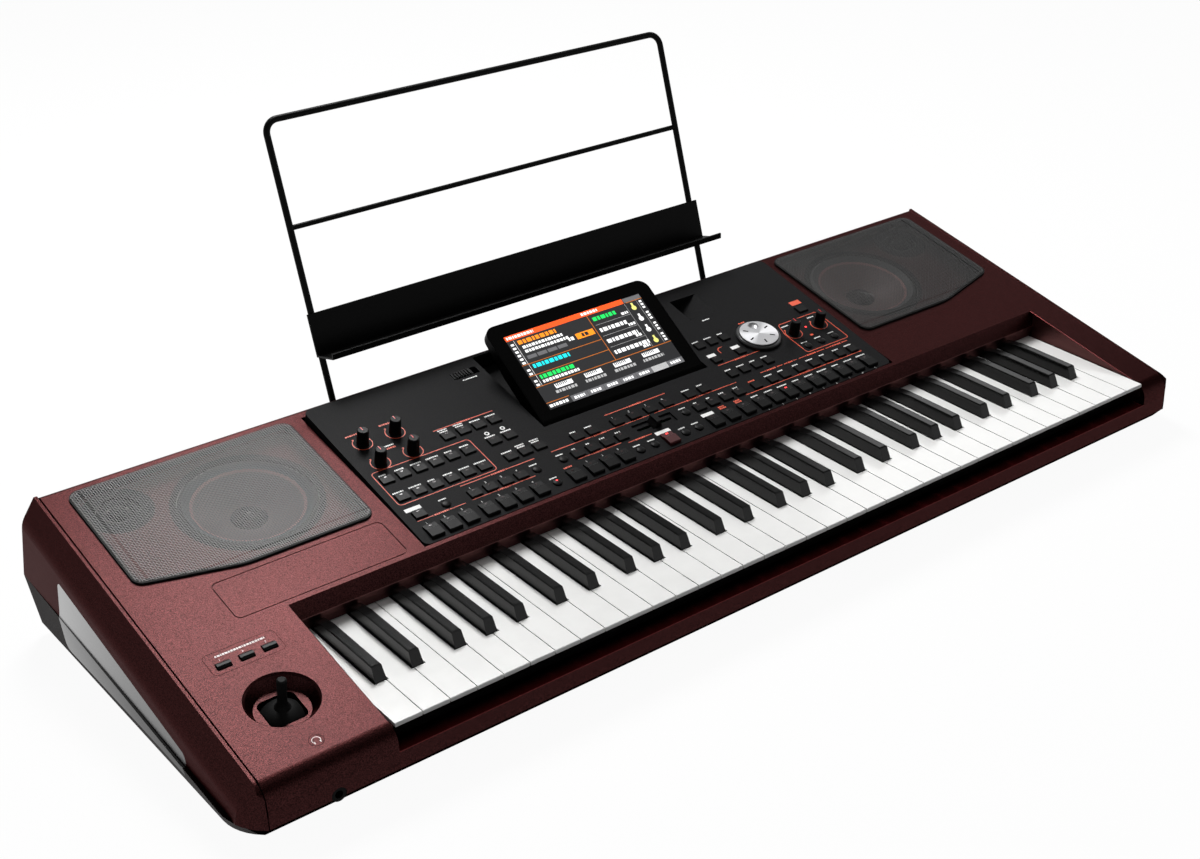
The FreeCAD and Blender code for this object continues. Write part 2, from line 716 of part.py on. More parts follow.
def baffle():
    """The sunk tray under a grille, with the two speaker holes, on the left deck."""
    low = baffle_low()
    tray = grille_prism(RIM_OUTSIDE + WALL, low, -WALL)
    hollow = grille_prism(RIM_OUTSIDE, low + BAFFLE_THICK, 0)
    woofer_hole = disc((-WOOFER_X, WOOFER_S), WOOFER_CONE_RADIUS + WOOFER_SURROUND, low, 0)
    tweeter_hole = disc((-TWEETER_X, TWEETER_S), TWEETER_RADIUS * TWEETER_HOLE, low, 0)
    return tray.cut([hollow, woofer_hole, tweeter_hole])


def joystick_centre():
    """Middle of the joystick on the left deck."""
    return (-BODY_HALF + LEFT_BLOCK / 2, JOYSTICK_S)


def joystick_cone(grow, floor_drop):
    """The tapered space of the joystick's well, grown by a wall."""
    cone = Part.makeCone(WELL_FLOOR_RADIUS + grow, WELL_RADIUS + grow, WELL_DEPTH + floor_drop)
    cone.translate(V(joystick_centre()[0], joystick_centre()[1], -WELL_DEPTH - floor_drop))
    return cone


def joystick_rim():
    """The bevel round the mouth of the joystick's well."""
    top = WELL_RADIUS + EDGE_BEVEL
    depth = WELL_RIM_SHARE * EDGE_BEVEL
    rim = Part.makeCone(top - depth, top, depth)
    rim.translate(V(joystick_centre()[0], joystick_centre()[1], -depth))
    return rim


def switch_centres():
    """Plan places of the switches behind the joystick."""
    middle = joystick_centre()[0]
    return [(middle + step * SWITCH_PITCH, SWITCH_S) for step in (-1, 0, 1)]


def groove_ring():
    """The fine groove round the bare plate between the left grille and the keys."""
    size = (GROOVE_PLATE_WIDTH, GROOVE_PLATE_LENGTH)
    inner_size = (size[0] - 2 * GROOVE_WIDTH, size[1] - 2 * GROOVE_WIDTH)
    centre = (-BODY_HALF + GROOVE_PLATE_FROM_SEAM + size[0] / 2, GROOVE_PLATE_S + size[1] / 2)
    outer = rounded_prism(centre, size, PANEL_CORNER, -GROOVE_WIDTH, 1)
    inner = rounded_prism(centre, inner_size, PANEL_CORNER - GROOVE_WIDTH, -GROOVE_WIDTH, 1)
    return outer.cut(inner)


def upper_case_left():
    """Left deck with its front block, speaker baffle and joystick well."""
    wall = key_side_wall(OPENING_LEFT - WALL, OPENING_LEFT)
    cup = on_deck(joystick_cone(WELL_WALL, WELL_WALL))
    shell = joined([block_skin(-BODY_HALF, OPENING_LEFT), rear_skin(OPENING_LEFT, -FRAME_SEAM), wall,
                    on_deck(baffle()), cup])
    boot_hole = rounded_prism(joystick_centre(), (BOOT_HOLE, BOOT_HOLE), PANEL_CORNER,
                              -WELL_DEPTH - 2 * WELL_WALL, 0)
    cuts = [below_parting(), on_deck(grille_prism(RIM_OUTSIDE, -WALL, FAR)), on_deck(joystick_cone(0, 0)),
            on_deck(joystick_rim()), on_deck(boot_hole), on_deck(groove_ring()), headphone_hole(),
            edge_bevel(OPENING_LEFT, 1, -2 * EDGE_BEVEL), edge_bevel(-BODY_HALF, -1, FAR)]
    hole_size = (SWITCH_SIZE[0] + 2 * BUTTON_FIT, SWITCH_SIZE[1] + 2 * BUTTON_FIT)
    for centre in switch_centres():
        cuts.append(on_deck(block(centre, hole_size, -2 * WALL, WALL)))
    return shell.cut(cuts)


def upper_case_right():
    """Right deck with its narrow front block and speaker baffle."""
    wall = key_side_wall(OPENING_RIGHT, OPENING_RIGHT + WALL)
    shell = joined([block_skin(OPENING_RIGHT, BODY_HALF), rear_skin(FRAME_SEAM, OPENING_RIGHT), wall,
                    mirrored(on_deck(baffle()))])
    return shell.cut([below_parting(), mirrored(on_deck(grille_prism(RIM_OUTSIDE, -WALL, FAR))),
                      edge_bevel(OPENING_RIGHT, -1, -2 * EDGE_BEVEL), edge_bevel(BODY_HALF, 1, FAR)])


def stand_lean():
    """Direction of the music stand's legs."""
    return V(0, math.sin(math.radians(STAND_LEAN)), math.cos(math.radians(STAND_LEAN)))


def stand_foot(side):
    """Lower end of one leg of the music stand."""
    return V(side * STAND_LEG_SPACING / 2, STAND_FOOT_Y, STAND_FOOT_Z)


def stand_sleeve(side):
    """The sleeve on the back of the case that takes one leg of the music stand, filled."""
    start = stand_foot(side) - stand_lean() * WALL
    return Part.makeCylinder(STAND_SOCKET_RADIUS, STAND_SOCKET_LENGTH, start, stand_lean())


def stand_bore(side):
    """The space of one leg in its sleeve."""
    radius = STAND_ROD_RADIUS + STAND_ROD_FIT
    return Part.makeCylinder(radius, 2 * STAND_SOCKET_LENGTH, stand_foot(side), stand_lean())


def panel_rail(side):
    """The rail that one side of the control panel rests on."""
    middle = side * (FRAME_SEAM - PANEL_RAIL_WIDTH / 2)
    return on_deck(block((middle, DECK_LENGTH / 2 - 1), (PANEL_RAIL_WIDTH, DECK_LENGTH),
                         -PANEL_SEAT_DEPTH - PANEL_RAIL_DEPTH, -PANEL_SEAT_DEPTH))


def centre_frame():
    """Red frame round the control panel, with its fall board and the music stand's sleeves."""
    opening = block((0, PANEL_LENGTH / 2), (2 * FRAME_SEAM + 2, PANEL_LENGTH + 2 * PANEL_FIT), -FAR, FAR)
    shell = rear_skin(-FRAME_SEAM, FRAME_SEAM).cut([below_parting()])
    pieces = list(shell.cut(on_panel(opening)).Solids)
    for side in (-1, 1):
        pieces += [panel_rail(side), stand_sleeve(side)]
    return joined(pieces).cut([stand_bore(-1), stand_bore(1)])


def front_rail():
    """The low rail in front of the keys."""
    top = KEY_TOP - RAIL_TOP_DROP
    line = [(FRONT_Y + FRONT_DRAFT, 0), (FRONT_Y, top), (FRONT_Y + RAIL_REACH, top - RAIL_FALL)]
    rail = side_prism(thicken(line, RAIL_THICK), OPENING_LEFT, OPENING_RIGHT)
    return rail.cut(below_parting())


# End caps

def cap_section(inset):
    """Cross-section of the left end cap along the deck slope, shrunk by a wall."""
    seam = -BODY_HALF
    low = -FAR / 4
    side = seam - CAP_WIDTH + inset
    points = [(seam + inset, -inset), (seam - CAP_FLAT + inset / 2, -inset),
              (seam - CAP_CHAMFER_OUT + inset, -CAP_CHAMFER_DOWN - inset / 3),
              (side, -CAP_SIDE_DOWN), (side, low), (seam + inset, low)]
    return on_deck(front_prism(points, -FAR, FAR, {2: CAP_ROUND}))


def cap_plan(inset):
    """Plan of the left end cap, with its front corner cut back and rounded."""
    seam = -BODY_HALF + inset
    outer = -BODY_HALF - CAP_WIDTH + inset
    front = FRONT_Y + inset
    back = BACK_Y - inset
    points = [(seam, front), (seam, back), (outer, back), (outer, front + CAP_CORNER_LENGTH)]
    return plan_prism(points, -FAR, FAR, {3: CAP_CORNER_ROUND})


def cap_side(inset):
    """Side view of the end cap, filled."""
    points = []
    for y, z in block_line():
        inward = inset if y < FALL_Y else -inset
        down = inset if z > 0 else 0
        points.append((y + inward, z - down))
    return side_prism(points, -BODY_HALF - 2 * CAP_WIDTH, -BODY_HALF + 2 * WALL, {2: FRONT_RADIUS})


def cap_form(inset):
    """The left end cap's outer form, or its inside with a wall as inset."""
    return cap_side(inset).common(cap_section(inset)).common(cap_plan(inset))


def insert_outline():
    """The side panel's outline, carried across the left end."""
    front = FRONT_Y + INSERT_FROM_FRONT
    heel = BACK_Y - INSERT_HEEL_FROM_BACK
    bend = heel - INSERT_BACK_BEND
    points = [(front, parting_z(front) + INSERT_FRONT_RISE), (front, parting_z(front)),
              (front + INSERT_TOE_BACK, INSERT_TOE_Z), (heel, INSERT_HEEL_Z),
              (bend, parting_z(bend) + INSERT_BACK_BEND_RISE),
              (BACK_Y - INSERT_TOP_FROM_BACK, KEY_TOP + INSERT_TOP_RISE)]
    radii = {0: INSERT_FRONT_ROUND, 3: INSERT_HEEL_ROUND, 5: INSERT_TOP_ROUND}
    return side_prism(points, -BODY_HALF - 2 * CAP_WIDTH, -BODY_HALF, radii)


def end_cap_left():
    """Left end cap, an open-backed shell with a shallow seat for its side panel."""
    return cap_form(0).cut([cap_form(WALL), below_parting(), side_insert_upper(),
                            edge_bevel(-BODY_HALF, 1, FAR)])


def side_insert_upper():
    """The part of the side panel that lies on the end cap."""
    layer = cap_form(0).cut(cap_form(INSERT_THICK))
    return layer.common(insert_outline()).cut(below_parting())


def side_insert_lower():
    """The part of the side panel that lies on the bottom case."""
    layer = base_form(0).cut(base_form(INSERT_THICK))
    return layer.common(insert_outline()).common(below_parting())


# Bottom case

def base_ring(side, front, back, height):
    """Ring of the bottom case; height gives how high it lies at each distance from the key fronts."""
    corner = front + CAP_CORNER_LENGTH
    points = [(BODY_HALF, front), (side, corner), (side, back), (-side, back), (-side, corner),
              (-BODY_HALF, front)]
    radii = {1: CAP_CORNER_ROUND, 4: CAP_CORNER_ROUND}
    return outline(points, lambda x, y: V(x, y, height(y)), radii).OuterWire


def base_form(inset):
    """The bottom case's form up to the parting line, or its inside with a wall as inset."""
    side = BODY_HALF + CAP_WIDTH - inset
    front = FRONT_Y + FRONT_DRAFT / 2 + inset
    back = BACK_Y - inset
    lower = base_ring(side - BASE_SIDE_INSET, front + BASE_FRONT_INSET, back - BASE_BACK_INSET,
                      lambda y: BASE_Z + inset)
    upper = base_ring(side, front, back, lambda y: parting_z(y) + inset)
    return Part.makeLoft([lower, upper], True, True)


def foot_places():
    """Plan places of the rubber feet."""
    x_out = BODY_HALF - FOOT_FROM_END
    ys = (FRONT_Y + FOOT_FROM_FRONT, BACK_Y - FOOT_FROM_BACK)
    return [(x, y) for y in ys for x in (-x_out, 0, x_out)]


def screw_places():
    """Plan places of the screws that come up through the bottom case."""
    x_out = BODY_HALF - SCREW_FROM_END
    x_in = BODY_HALF / 3
    ys = (FRONT_Y + SCREW_FROM_FRONT, BACK_Y - SCREW_FROM_BACK)
    return [(x, y) for y in ys for x in (-x_out, -x_in, x_in, x_out)]


def chassis_post_places():
    """Plan places of the posts that carry the key chassis."""
    ys = (CHASSIS_FRONT + CHASSIS_POST, CHASSIS_BACK - CHASSIS_POST)
    width = OPENING_RIGHT - OPENING_LEFT
    return [(OPENING_LEFT + share * width, y) for y in ys for share in CHASSIS_POST_SHARES]


def jack_xs():
    """Places along the back of the round jacks."""
    return [JACK_FIRST_X + JACK_PITCH * index for index in range(JACK_COUNT)]


def midi_xs():
    """Places along the back of the round multi-pin sockets."""
    return [MIDI_FIRST_X + JACK_PITCH * index for index in range(MIDI_COUNT)]


def rear_hole(x, size):
    """A rectangular hole through the bottom case's back."""
    return front_prism(rectangle((x, JACK_Z), size), BACK_Y - JACK_LENGTH, BACK_Y + JACK_LENGTH)


def rear_bore(x, radius):
    """A round hole through the bottom case's back."""
    return Part.makeCylinder(radius, 2 * JACK_LENGTH, V(x, BACK_Y - JACK_LENGTH, JACK_Z), V(0, 1, 0))


def bottom_case():
    """The lower tray, with foot seats, screw holes, chassis posts and the holes for the sockets."""
    tray = base_form(0).cut(base_form(BASE_THICK))
    posts = [block(place, (CHASSIS_POST, CHASSIS_POST), BASE_Z, chassis_low())
             for place in chassis_post_places()]
    cuts = [disc(place, FOOT_RADIUS + FOOT_FIT, 0, BASE_Z + FOOT_SEAT) for place in foot_places()]
    for place in screw_places():
        cuts.append(disc(place, SCREW_HEAD_RADIUS + SCREW_FIT, 0, BASE_Z + SCREW_HEAD_HEIGHT))
        cuts.append(disc(place, SCREW_RADIUS + SCREW_FIT, 0, BASE_Z + 2 * BASE_THICK))
    cuts += [rear_bore(x, JACK_RADIUS) for x in jack_xs()]
    cuts += [rear_bore(x, MIDI_RADIUS) for x in midi_xs()]
    cuts += [rear_hole(INLET_X, INLET_SIZE), rear_hole(REAR_USB_X, REAR_USB)]
    lower_insert = side_insert_lower()
    cuts += [headphone_hole(), lower_insert, mirrored(lower_insert)]
    return joined([tray] + posts).cut(cuts)


def feet():
    """Rubber feet, set into the bottom case."""
    return [disc(place, FOOT_RADIUS, 0, BASE_Z + FOOT_SEAT) for place in foot_places()]


def screws():
    """Screws of the bottom case, heads flush with its underside."""
    solids = []
    for place in screw_places():
        head = disc(place, SCREW_HEAD_RADIUS, BASE_Z, BASE_Z + SCREW_HEAD_HEIGHT)
        solids.append(joined([head, disc(place, SCREW_RADIUS, BASE_Z, BASE_Z + SCREW_LENGTH)]))
    return solids


# Sockets

def rear_wall_y():
    """Outer face of the bottom case's back at the height of the sockets."""
    return BACK_Y - BASE_BACK_INSET * (PARTING_BACK - JACK_Z) / (PARTING_BACK - BASE_Z)


def round_socket(x, radius, bore, y_face, z, direction):
    """A round socket whose mouth is at y_face; direction is +1 for the back and -1 for the front."""
    mouth = V(x, y_face, z)
    inward = V(0, -direction, 0)
    body = Part.makeCylinder(radius, JACK_LENGTH, mouth, inward)
    return body.cut(Part.makeCylinder(bore, JACK_LENGTH * JACK_BORE_SHARE, mouth, inward))


def headphone_place():
    """Place (x, z) of the headphone socket in the left block's front face."""
    return (-BODY_HALF + LEFT_BLOCK / 2 + HEADPHONE_SHIFT, KEY_TOP - HEADPHONE_DROP)


def headphone_hole():
    """The round hole in the left block's front face."""
    x, z = headphone_place()
    return Part.makeCylinder(JACK_RADIUS, 2 * JACK_LENGTH, V(x, FRONT_Y - JACK_LENGTH, z), V(0, 1, 0))


def rear_box(x, size, wall):
    """A rectangular socket in the back, open behind and half as deep inside."""
    face = rear_wall_y()
    inner = (size[0] - 2 * wall, size[1] - 2 * wall)
    body = front_prism(rectangle((x, JACK_Z), size), face - JACK_LENGTH, face)
    return body.cut(front_prism(rectangle((x, JACK_Z), inner), face - JACK_LENGTH / 2, face + 1))


def inlet():
    """The mains inlet: a block with a sunk mouth and three flat pins."""
    face = rear_wall_y()
    pieces = [rear_box(INLET_X, INLET_SIZE, INLET_WALL)]
    for step, height in ((-1, INLET_PIN_LOW), (0, INLET_PIN_HIGH), (1, INLET_PIN_LOW)):
        centre = (INLET_X + step * INLET_PIN_SPREAD, JACK_Z + height)
        pieces.append(front_prism(rectangle(centre, INLET_PIN), face - JACK_LENGTH, face - INLET_PIN[1]))
    return joined(pieces)


def jack_sockets():
    """Every socket: the row along the back, the mains inlet and the headphone socket in front."""
    face = rear_wall_y()
    x, z = headphone_place()
    solids = [round_socket(jx, JACK_RADIUS, JACK_BORE, face, JACK_Z, 1) for jx in jack_xs()]
    solids += [round_socket(mx, MIDI_RADIUS, MIDI_RADIUS - MIDI_WALL, face, JACK_Z, 1) for mx in midi_xs()]
    solids += [rear_box(REAR_USB_X, REAR_USB, REAR_USB_WALL), inlet()]
    solids.append(round_socket(x, JACK_RADIUS, JACK_BORE, FRONT_Y + FRONT_DRAFT / 2, z, -1))
    return solids


# Key bed

def chassis_low():
    """Underside of the key chassis."""
    return felt_top(WHITE_FELT_Y) - FELT_THICK - CHASSIS_THICK


def felt_top(y):
    """Top of the felt that stops a key: just under the stem of a key pressed down."""
    dip = (PIVOT_Y - y + FELT_WIDTH / 2) * math.sin(math.radians(KEY_DIP_ANGLE))
    return KEY_TOP - KEY_STEM_DEPTH - dip - FELT_CLEARANCE


def key_chassis():
    """Folded sheet under the keys, with the ridge that they rock on."""
    low = chassis_low()
    line = [(CHASSIS_BACK, low + CHASSIS_LIP), (CHASSIS_BACK, low), (CHASSIS_FRONT, low),
            (CHASSIS_FRONT, low + CHASSIS_LIP)]
    sheet = side_prism(thicken(line, CHASSIS_THICK), OPENING_LEFT, OPENING_RIGHT)
    apex = PIVOT_Z - PIVOT_CLEARANCE
    foot = (apex - low) * math.tan(math.radians(RIDGE_HALF_ANGLE))
    half = min(foot, CHASSIS_BEHIND - CHASSIS_THICK)
    points = [(PIVOT_Y - half, low), (PIVOT_Y + half, low), (PIVOT_Y, apex)]
    return joined([sheet, side_prism(points, OPENING_LEFT, OPENING_RIGHT)])


def key_felts():
    """Felt strips that stop the pressed keys."""
    solids = []
    floor = chassis_low() + CHASSIS_THICK
    for y in (WHITE_FELT_Y, SHARP_FELT_Y):
        height = felt_top(y) - floor
        strip = rectangle((y, floor + height / 2), (FELT_WIDTH, height))
        solids.append(side_prism(strip, OPENING_LEFT, OPENING_RIGHT))
    return solids


def key_stem(x_low, x_high, y_front, top):
    """The bar under a key, with the groove that sits on the chassis ridge."""
    bottom = KEY_TOP - KEY_STEM_DEPTH
    back = PIVOT_Y + KEY_TAIL
    groove = (PIVOT_Z - bottom) * math.tan(math.radians(GROOVE_HALF_ANGLE))
    half = min(groove, KEY_TAIL - KEY_TAIL_EDGE)
    points = [(y_front, top), (y_front + KEY_STEM_SLANT, bottom), (PIVOT_Y - half, bottom),
              (PIVOT_Y, PIVOT_Z), (PIVOT_Y + half, bottom), (back, bottom), (back, top)]
    return side_prism(points, x_low, x_high)


def sharp_centre(white_index):
    """Middle of the black key that stands after the given white key, or None."""
    note = SHARP_AFTER.get(WHITE_NOTES[white_index % 7])
    if note is None or white_index < 0 or white_index >= WHITE_KEY_COUNT - 1:
        return None
    return KEYS_LEFT + (white_index + 1 + SHARP_SHIFTS[note]) * KEY_PITCH


def white_key(index):
    """One white key: a thin plate cut away round its black neighbours, on a stem."""
    left = KEYS_LEFT + index * KEY_PITCH + KEY_GAP / 2
    right = left + KEY_PITCH - KEY_GAP
    notch = SHARP_WIDTH / 2 + SHARP_CLEARANCE
    before = sharp_centre(index - 1)
    after = sharp_centre(index)
    narrow_left = left if before is None else before + notch
    narrow_right = right if after is None else after - notch
    shoulder = SHARP_FRONT - SHARP_CLEARANCE
    back = KEY_LENGTH + KEY_UNDER_FALL
    points = [(left, 0), (right, 0), (right, shoulder), (narrow_right, shoulder), (narrow_right, back),
              (narrow_left, back), (narrow_left, shoulder), (left, shoulder)]
    kept = [point for place, point in enumerate(points) if point != points[place - 1]]
    plate = plan_prism(kept, KEY_TOP - KEY_PLATE, KEY_TOP)
    edge = [(-1, KEY_TOP - KEY_EDGE - 1), (KEY_EDGE + 1, KEY_TOP + 1), (-1, KEY_TOP + 1)]
    stem = key_stem(narrow_left + KEY_STEM_INSET, narrow_right - KEY_STEM_INSET, KEY_STEM_FRONT,
                    KEY_TOP - KEY_PLATE)
    return joined([plate.cut(side_prism(edge, left, right)), stem])


def sharp_block(centre):
    """A black key's cap before its sides are drawn in: bevelled sloping front, arched fall at the back."""
    base = KEY_TOP - KEY_PLATE
    top = KEY_TOP + SHARP_HEIGHT
    front = SHARP_FRONT + SHARP_FRONT_SLOPE
    slope = math.hypot(SHARP_FRONT_SLOPE, SHARP_HEIGHT)
    fall_start = SHARP_BACK - SHARP_FALL
    bevel_low = (front - SHARP_EDGE * SHARP_FRONT_SLOPE / slope, top - SHARP_EDGE * SHARP_HEIGHT / slope)
    corners = [(SHARP_BACK, KEY_TOP + SHARP_BACK_HEIGHT), (SHARP_BACK, base), (SHARP_FRONT, base),
               (SHARP_FRONT, KEY_TOP), bevel_low, (front + SHARP_EDGE, top), (fall_start, top)]
    line = [across(a, b) for a, b in corners]
    arch = across((fall_start + SHARP_BACK) / 2, top - SHARP_ARCH * (SHARP_HEIGHT - SHARP_BACK_HEIGHT))
    edges = [Part.makeLine(line[i], line[i + 1]) for i in range(len(line) - 1)]
    edges.append(Part.Arc(line[-1], arch, line[0]).toShape())
    cap = Part.Face(Part.Wire(edges)).extrude(V(SHARP_WIDTH, 0, 0))
    cap.translate(V(centre - SHARP_WIDTH / 2, 0, 0))
    return cap


def black_key(centre):
    """One black key: drawn-in sides with bevelled upper edges, on a stem."""
    top = KEY_TOP + SHARP_HEIGHT
    half = SHARP_WIDTH / 2
    half_top = SHARP_TOP_WIDTH / 2
    cap = sharp_block(centre)
    for side in (-1, 1):
        points = [(centre + side * half, KEY_TOP), (centre + side * half_top, top - SHARP_EDGE),
                  (centre + side * (half_top - SHARP_EDGE - 1), top + 1),
                  (centre + side * SHARP_WIDTH, top + 1), (centre + side * SHARP_WIDTH, KEY_TOP)]
        cap = cap.cut(front_prism(points, SHARP_FRONT - 1, SHARP_BACK + 1))
    stem = key_stem(centre - SHARP_STEM_WIDTH / 2, centre + SHARP_STEM_WIDTH / 2,
                    SHARP_FRONT + SHARP_STEM_BEHIND, KEY_TOP - KEY_PLATE)
    return joined([cap, stem])


def keys():
    """Keys grouped by note name, from the lowest to the highest."""
    groups = {}
    for index in range(WHITE_KEY_COUNT):
        note = WHITE_NOTES[index % 7]
        groups.setdefault(note, []).append(white_key(index))
        centre = sharp_centre(index)
        if centre is not None:
            groups.setdefault(SHARP_AFTER[note], []).append(black_key(centre))
    return groups


# Panel layout, counted in the panel's columns

def row(first, pitch, count, w):
    """Evenly spaced places along one row; first and pitch are columns."""
    return [((first + pitch * index) * COLUMN, w) for index in range(count)]


def places(columns, w):
    """Places along one row at the given columns."""
    return [(column * COLUMN, w) for column in columns]


def player_places():
    """The two players on both sides of the fader, and the keyboard sets between them."""
    left = row(-4.674, 1.041, 2, ROW_CENTRE) + row(-5.508, 1.004, 4, ROW_B)
    middle = row(-1.932, 1.186, 4, ROW_CENTRE)
    right = row(3.338, 1.048, 2, ROW_CENTRE) + row(3.087, 1.004, 4, ROW_B)
    return left + middle + right


def rectangular_buttons():
    """Every rectangular button group: its size and the places of its buttons."""
    styles = row(-15.58, 1.007, 6, ROW_D) + row(-15.58, 1.007, 6, ROW_C)
    modes = row(-10.835, 0.9975, 4, ROW_E) + row(-8.859, 1.016, 2, ROW_D) + row(-8.821, 0.935, 3, ROW_C)
    pads = row(-12.17, 0.982, 4, ROW_B) + places([-15.54], ROW_B)
    pages = row(6.851, 0.954, 3, ROW_E) + row(6.907, 1.857, 2, ROW_D) + row(6.882, 0.935, 4, ROW_C)
    tuning = places([7.434, 8.695, 9.655, 10.872, 12.021, 13.018, 14.154, 15.176], ROW_B)
    sections = row(-15.578, 1.0665, 3, ROW_A) + row(-12.209, 1.0665, 4, ROW_A) + places([-6.638], ROW_A)
    endings = row(-5.446, 1.060, 3, ROW_A)
    library = row(3.112, 1.173, 3, ROW_A) + row(6.638, 1.069, 9, ROW_A)
    return {
        "style_buttons": (SMALL_BUTTON, styles),
        "mode_buttons": (SMALL_BUTTON, modes),
        "pad_buttons": (SMALL_BUTTON, pads),
        "player_buttons": (SMALL_BUTTON, player_places()),
        "page_buttons": (NARROW_BUTTON, pages),
        "tune_buttons": (NARROW_BUTTON, tuning),
        "power_button": (SMALL_BUTTON, places([15.126], ROW_E + POWER_BUTTON_SHIFT)),
        "section_buttons": (BIG_BUTTON, sections + endings),
        "start_stop_button": (BIG_BUTTON, places([-0.157], ROW_A)),
        "library_buttons": (BIG_BUTTON, library),
    }


def round_button_places():
    """Places of the round buttons."""
    lower = places([-7.861, -2.227, -1.217, 0.972, 1.926], ROW_A)
    upper = places([-13.922, -8.194, -6.449, 2.121], ROW_B)
    return lower + upper + row(12.943, 1.098, 3, ROW_C)


def knob_places():
    """Each knob's name and place."""
    high_left, high_right = places([-15.12, -13.125], ROW_KNOBS_HIGH)
    low_left, low_right = places([-15.12, -13.125], ROW_KNOBS_LOW)
    mic_left, mic_right = places([13.012, 15.107], ROW_MIC)
    return {
        "volume_knob": high_left,
        "balance_knob": high_right,
        "assign_knob_one": low_left,
        "assign_knob_two": low_right,
        "mic_gain_knob": mic_left,
        "mic_effect_knob": mic_right,
    }


# Control panel

def circle_wire(centre, radius):
    """A round hole's outline."""
    return Part.Wire(Part.makeCircle(radius, V(centre[0], centre[1], 0)))


def rectangle_wire(centre, size):
    """A rectangular hole's outline."""
    return outline(rectangle(centre, size), flat).OuterWire


def tray_points(grow):
    """Plan of the display's tray: its inside, grown by a wall."""
    low = TRAY_FRONT - grow
    high = PANEL_LENGTH - DISPLAY_BACK_MARGIN + min(grow, TRAY_BACK_WALL)
    return rectangle((DISPLAY_CENTRE, (low + high) / 2), (2 * (TRAY_HALF + grow), high - low))


def panel_hole_wires():
    """The outlines of every hole in the panel's top."""
    wires = []
    for size, centres in rectangular_buttons().values():
        hole = (size[0] + 2 * BUTTON_FIT, size[1] + 2 * BUTTON_FIT)
        wires += [rectangle_wire(centre, hole) for centre in centres]
    shaft_hole = KNOB_SHAFT_RADIUS + KNOB_SHAFT_FIT
    wires += [circle_wire(centre, ROUND_BUTTON_RADIUS + BUTTON_FIT) for centre in round_button_places()]
    wires += [circle_wire(centre, shaft_hole) for centre in knob_places().values()]
    wires.append(circle_wire(DIAL_CENTRE, shaft_hole))
    wires.append(rectangle_wire(FADER_CENTRE, FADER_SLOT))
    wires.append(rectangle_wire(LATCH_CENTRE, LATCH_WELL))
    wires.append(outline(tray_points(0), flat).OuterWire)
    return wires


def panel_top():
    """The panel's top plate with its holes."""
    corners = rectangle((0, PANEL_LENGTH / 2), (PANEL_WIDTH, PANEL_LENGTH))
    rim = outline(corners, flat, {index: PANEL_CORNER for index in range(4)})
    face = Part.Face([rim.OuterWire] + panel_hole_wires())
    face.validate()
    return face.extrude(V(0, 0, -PANEL_THICK))


def panel_skirt():
    """The walls round the panel's edge, long enough to reach the frame at the back."""
    centre = (0, PANEL_LENGTH / 2)
    inner_size = (PANEL_WIDTH - 2 * WALL, PANEL_LENGTH - 2 * WALL)
    outer = rounded_prism(centre, (PANEL_WIDTH, PANEL_LENGTH), PANEL_CORNER, -PANEL_SKIRT, -PANEL_THICK)
    return outer.cut(rounded_prism(centre, inner_size, PANEL_CORNER - WALL, -PANEL_SKIRT, -PANEL_THICK))


def below_seat():
    """Everything under the rails that carry the panel."""
    return on_deck(block((0, PANEL_LENGTH / 2), (2 * FAR, FAR), -FAR, -PANEL_SEAT_DEPTH))


def display_tray():
    """The sunk tray that the display folds into, open at the top."""
    outer = plan_prism(tray_points(TRAY_WALL), -TRAY_DEPTH - TRAY_FLOOR, -PANEL_THICK)
    return outer.cut(plan_prism(tray_points(0), -TRAY_DEPTH, 0))


def hinge_bore():
    """The holes in the tray's sides for the display's pins."""
    half = TRAY_HALF + TRAY_WALL + 1
    start = V(DISPLAY_CENTRE - half, DISPLAY_PIVOT_W, -DISPLAY_PIVOT_DEPTH)
    return Part.makeCylinder(DISPLAY_PIN_RADIUS + DISPLAY_PIN_FIT, 2 * half, start, V(1, 0, 0))


def usb_pocket():
    """The pocket for a memory stick: its floor falls away towards the left wall."""
    u, w = USB_CORNER
    points = [(u, 0), (u + USB_POCKET[0], 0), (u, -USB_DEPTH)]
    return front_prism(points, w, w + USB_POCKET[1])


def usb_box():
    """The solid that the memory stick pocket is cut from."""
    u, w = USB_CORNER
    far = u + USB_POCKET[0]
    points = [(u - WALL, -PANEL_THICK), (far, -PANEL_THICK), (far, -PANEL_THICK - 1),
              (u, -USB_DEPTH - WALL), (u - WALL, -USB_DEPTH - WALL)]
    return front_prism(points, w - WALL, w + USB_POCKET[1] + WALL)


def left_wing_length():
    """How far back the panel's board reaches on the left."""
    return ROW_KNOBS_HIGH + BOARD_KNOB_MARGIN


def right_wing_length():
    """How far back the panel's board reaches on the right."""
    return USB_CORNER[1] - WALL - BOARD_POCKET_GAP


def board_front_width():
    """How far back the panel's board reaches in front of the display's tray."""
    return TRAY_FRONT - TRAY_WALL - BOARD_FRONT_GAP


def board_posts():
    """Short posts under the panel that carry its circuit board."""
    between_rows = (ROW_A + BIG_BUTTON[1] / 2 + ROW_B - SMALL_BUTTON[1] / 2) / 2
    centres = places([-15.68, -10.04, 6.02, 15.68], between_rows)
    centres += places([-0.153], board_front_width() - BOARD_POST)
    centres += places([-15.68, -7.03], left_wing_length() - BOARD_POST)
    centres += places([7.03, 15.68], right_wing_length() - BOARD_POST)
    return [block(centre, (BOARD_POST, BOARD_POST), -BOARD_DEPTH, -PANEL_THICK) for centre in centres]


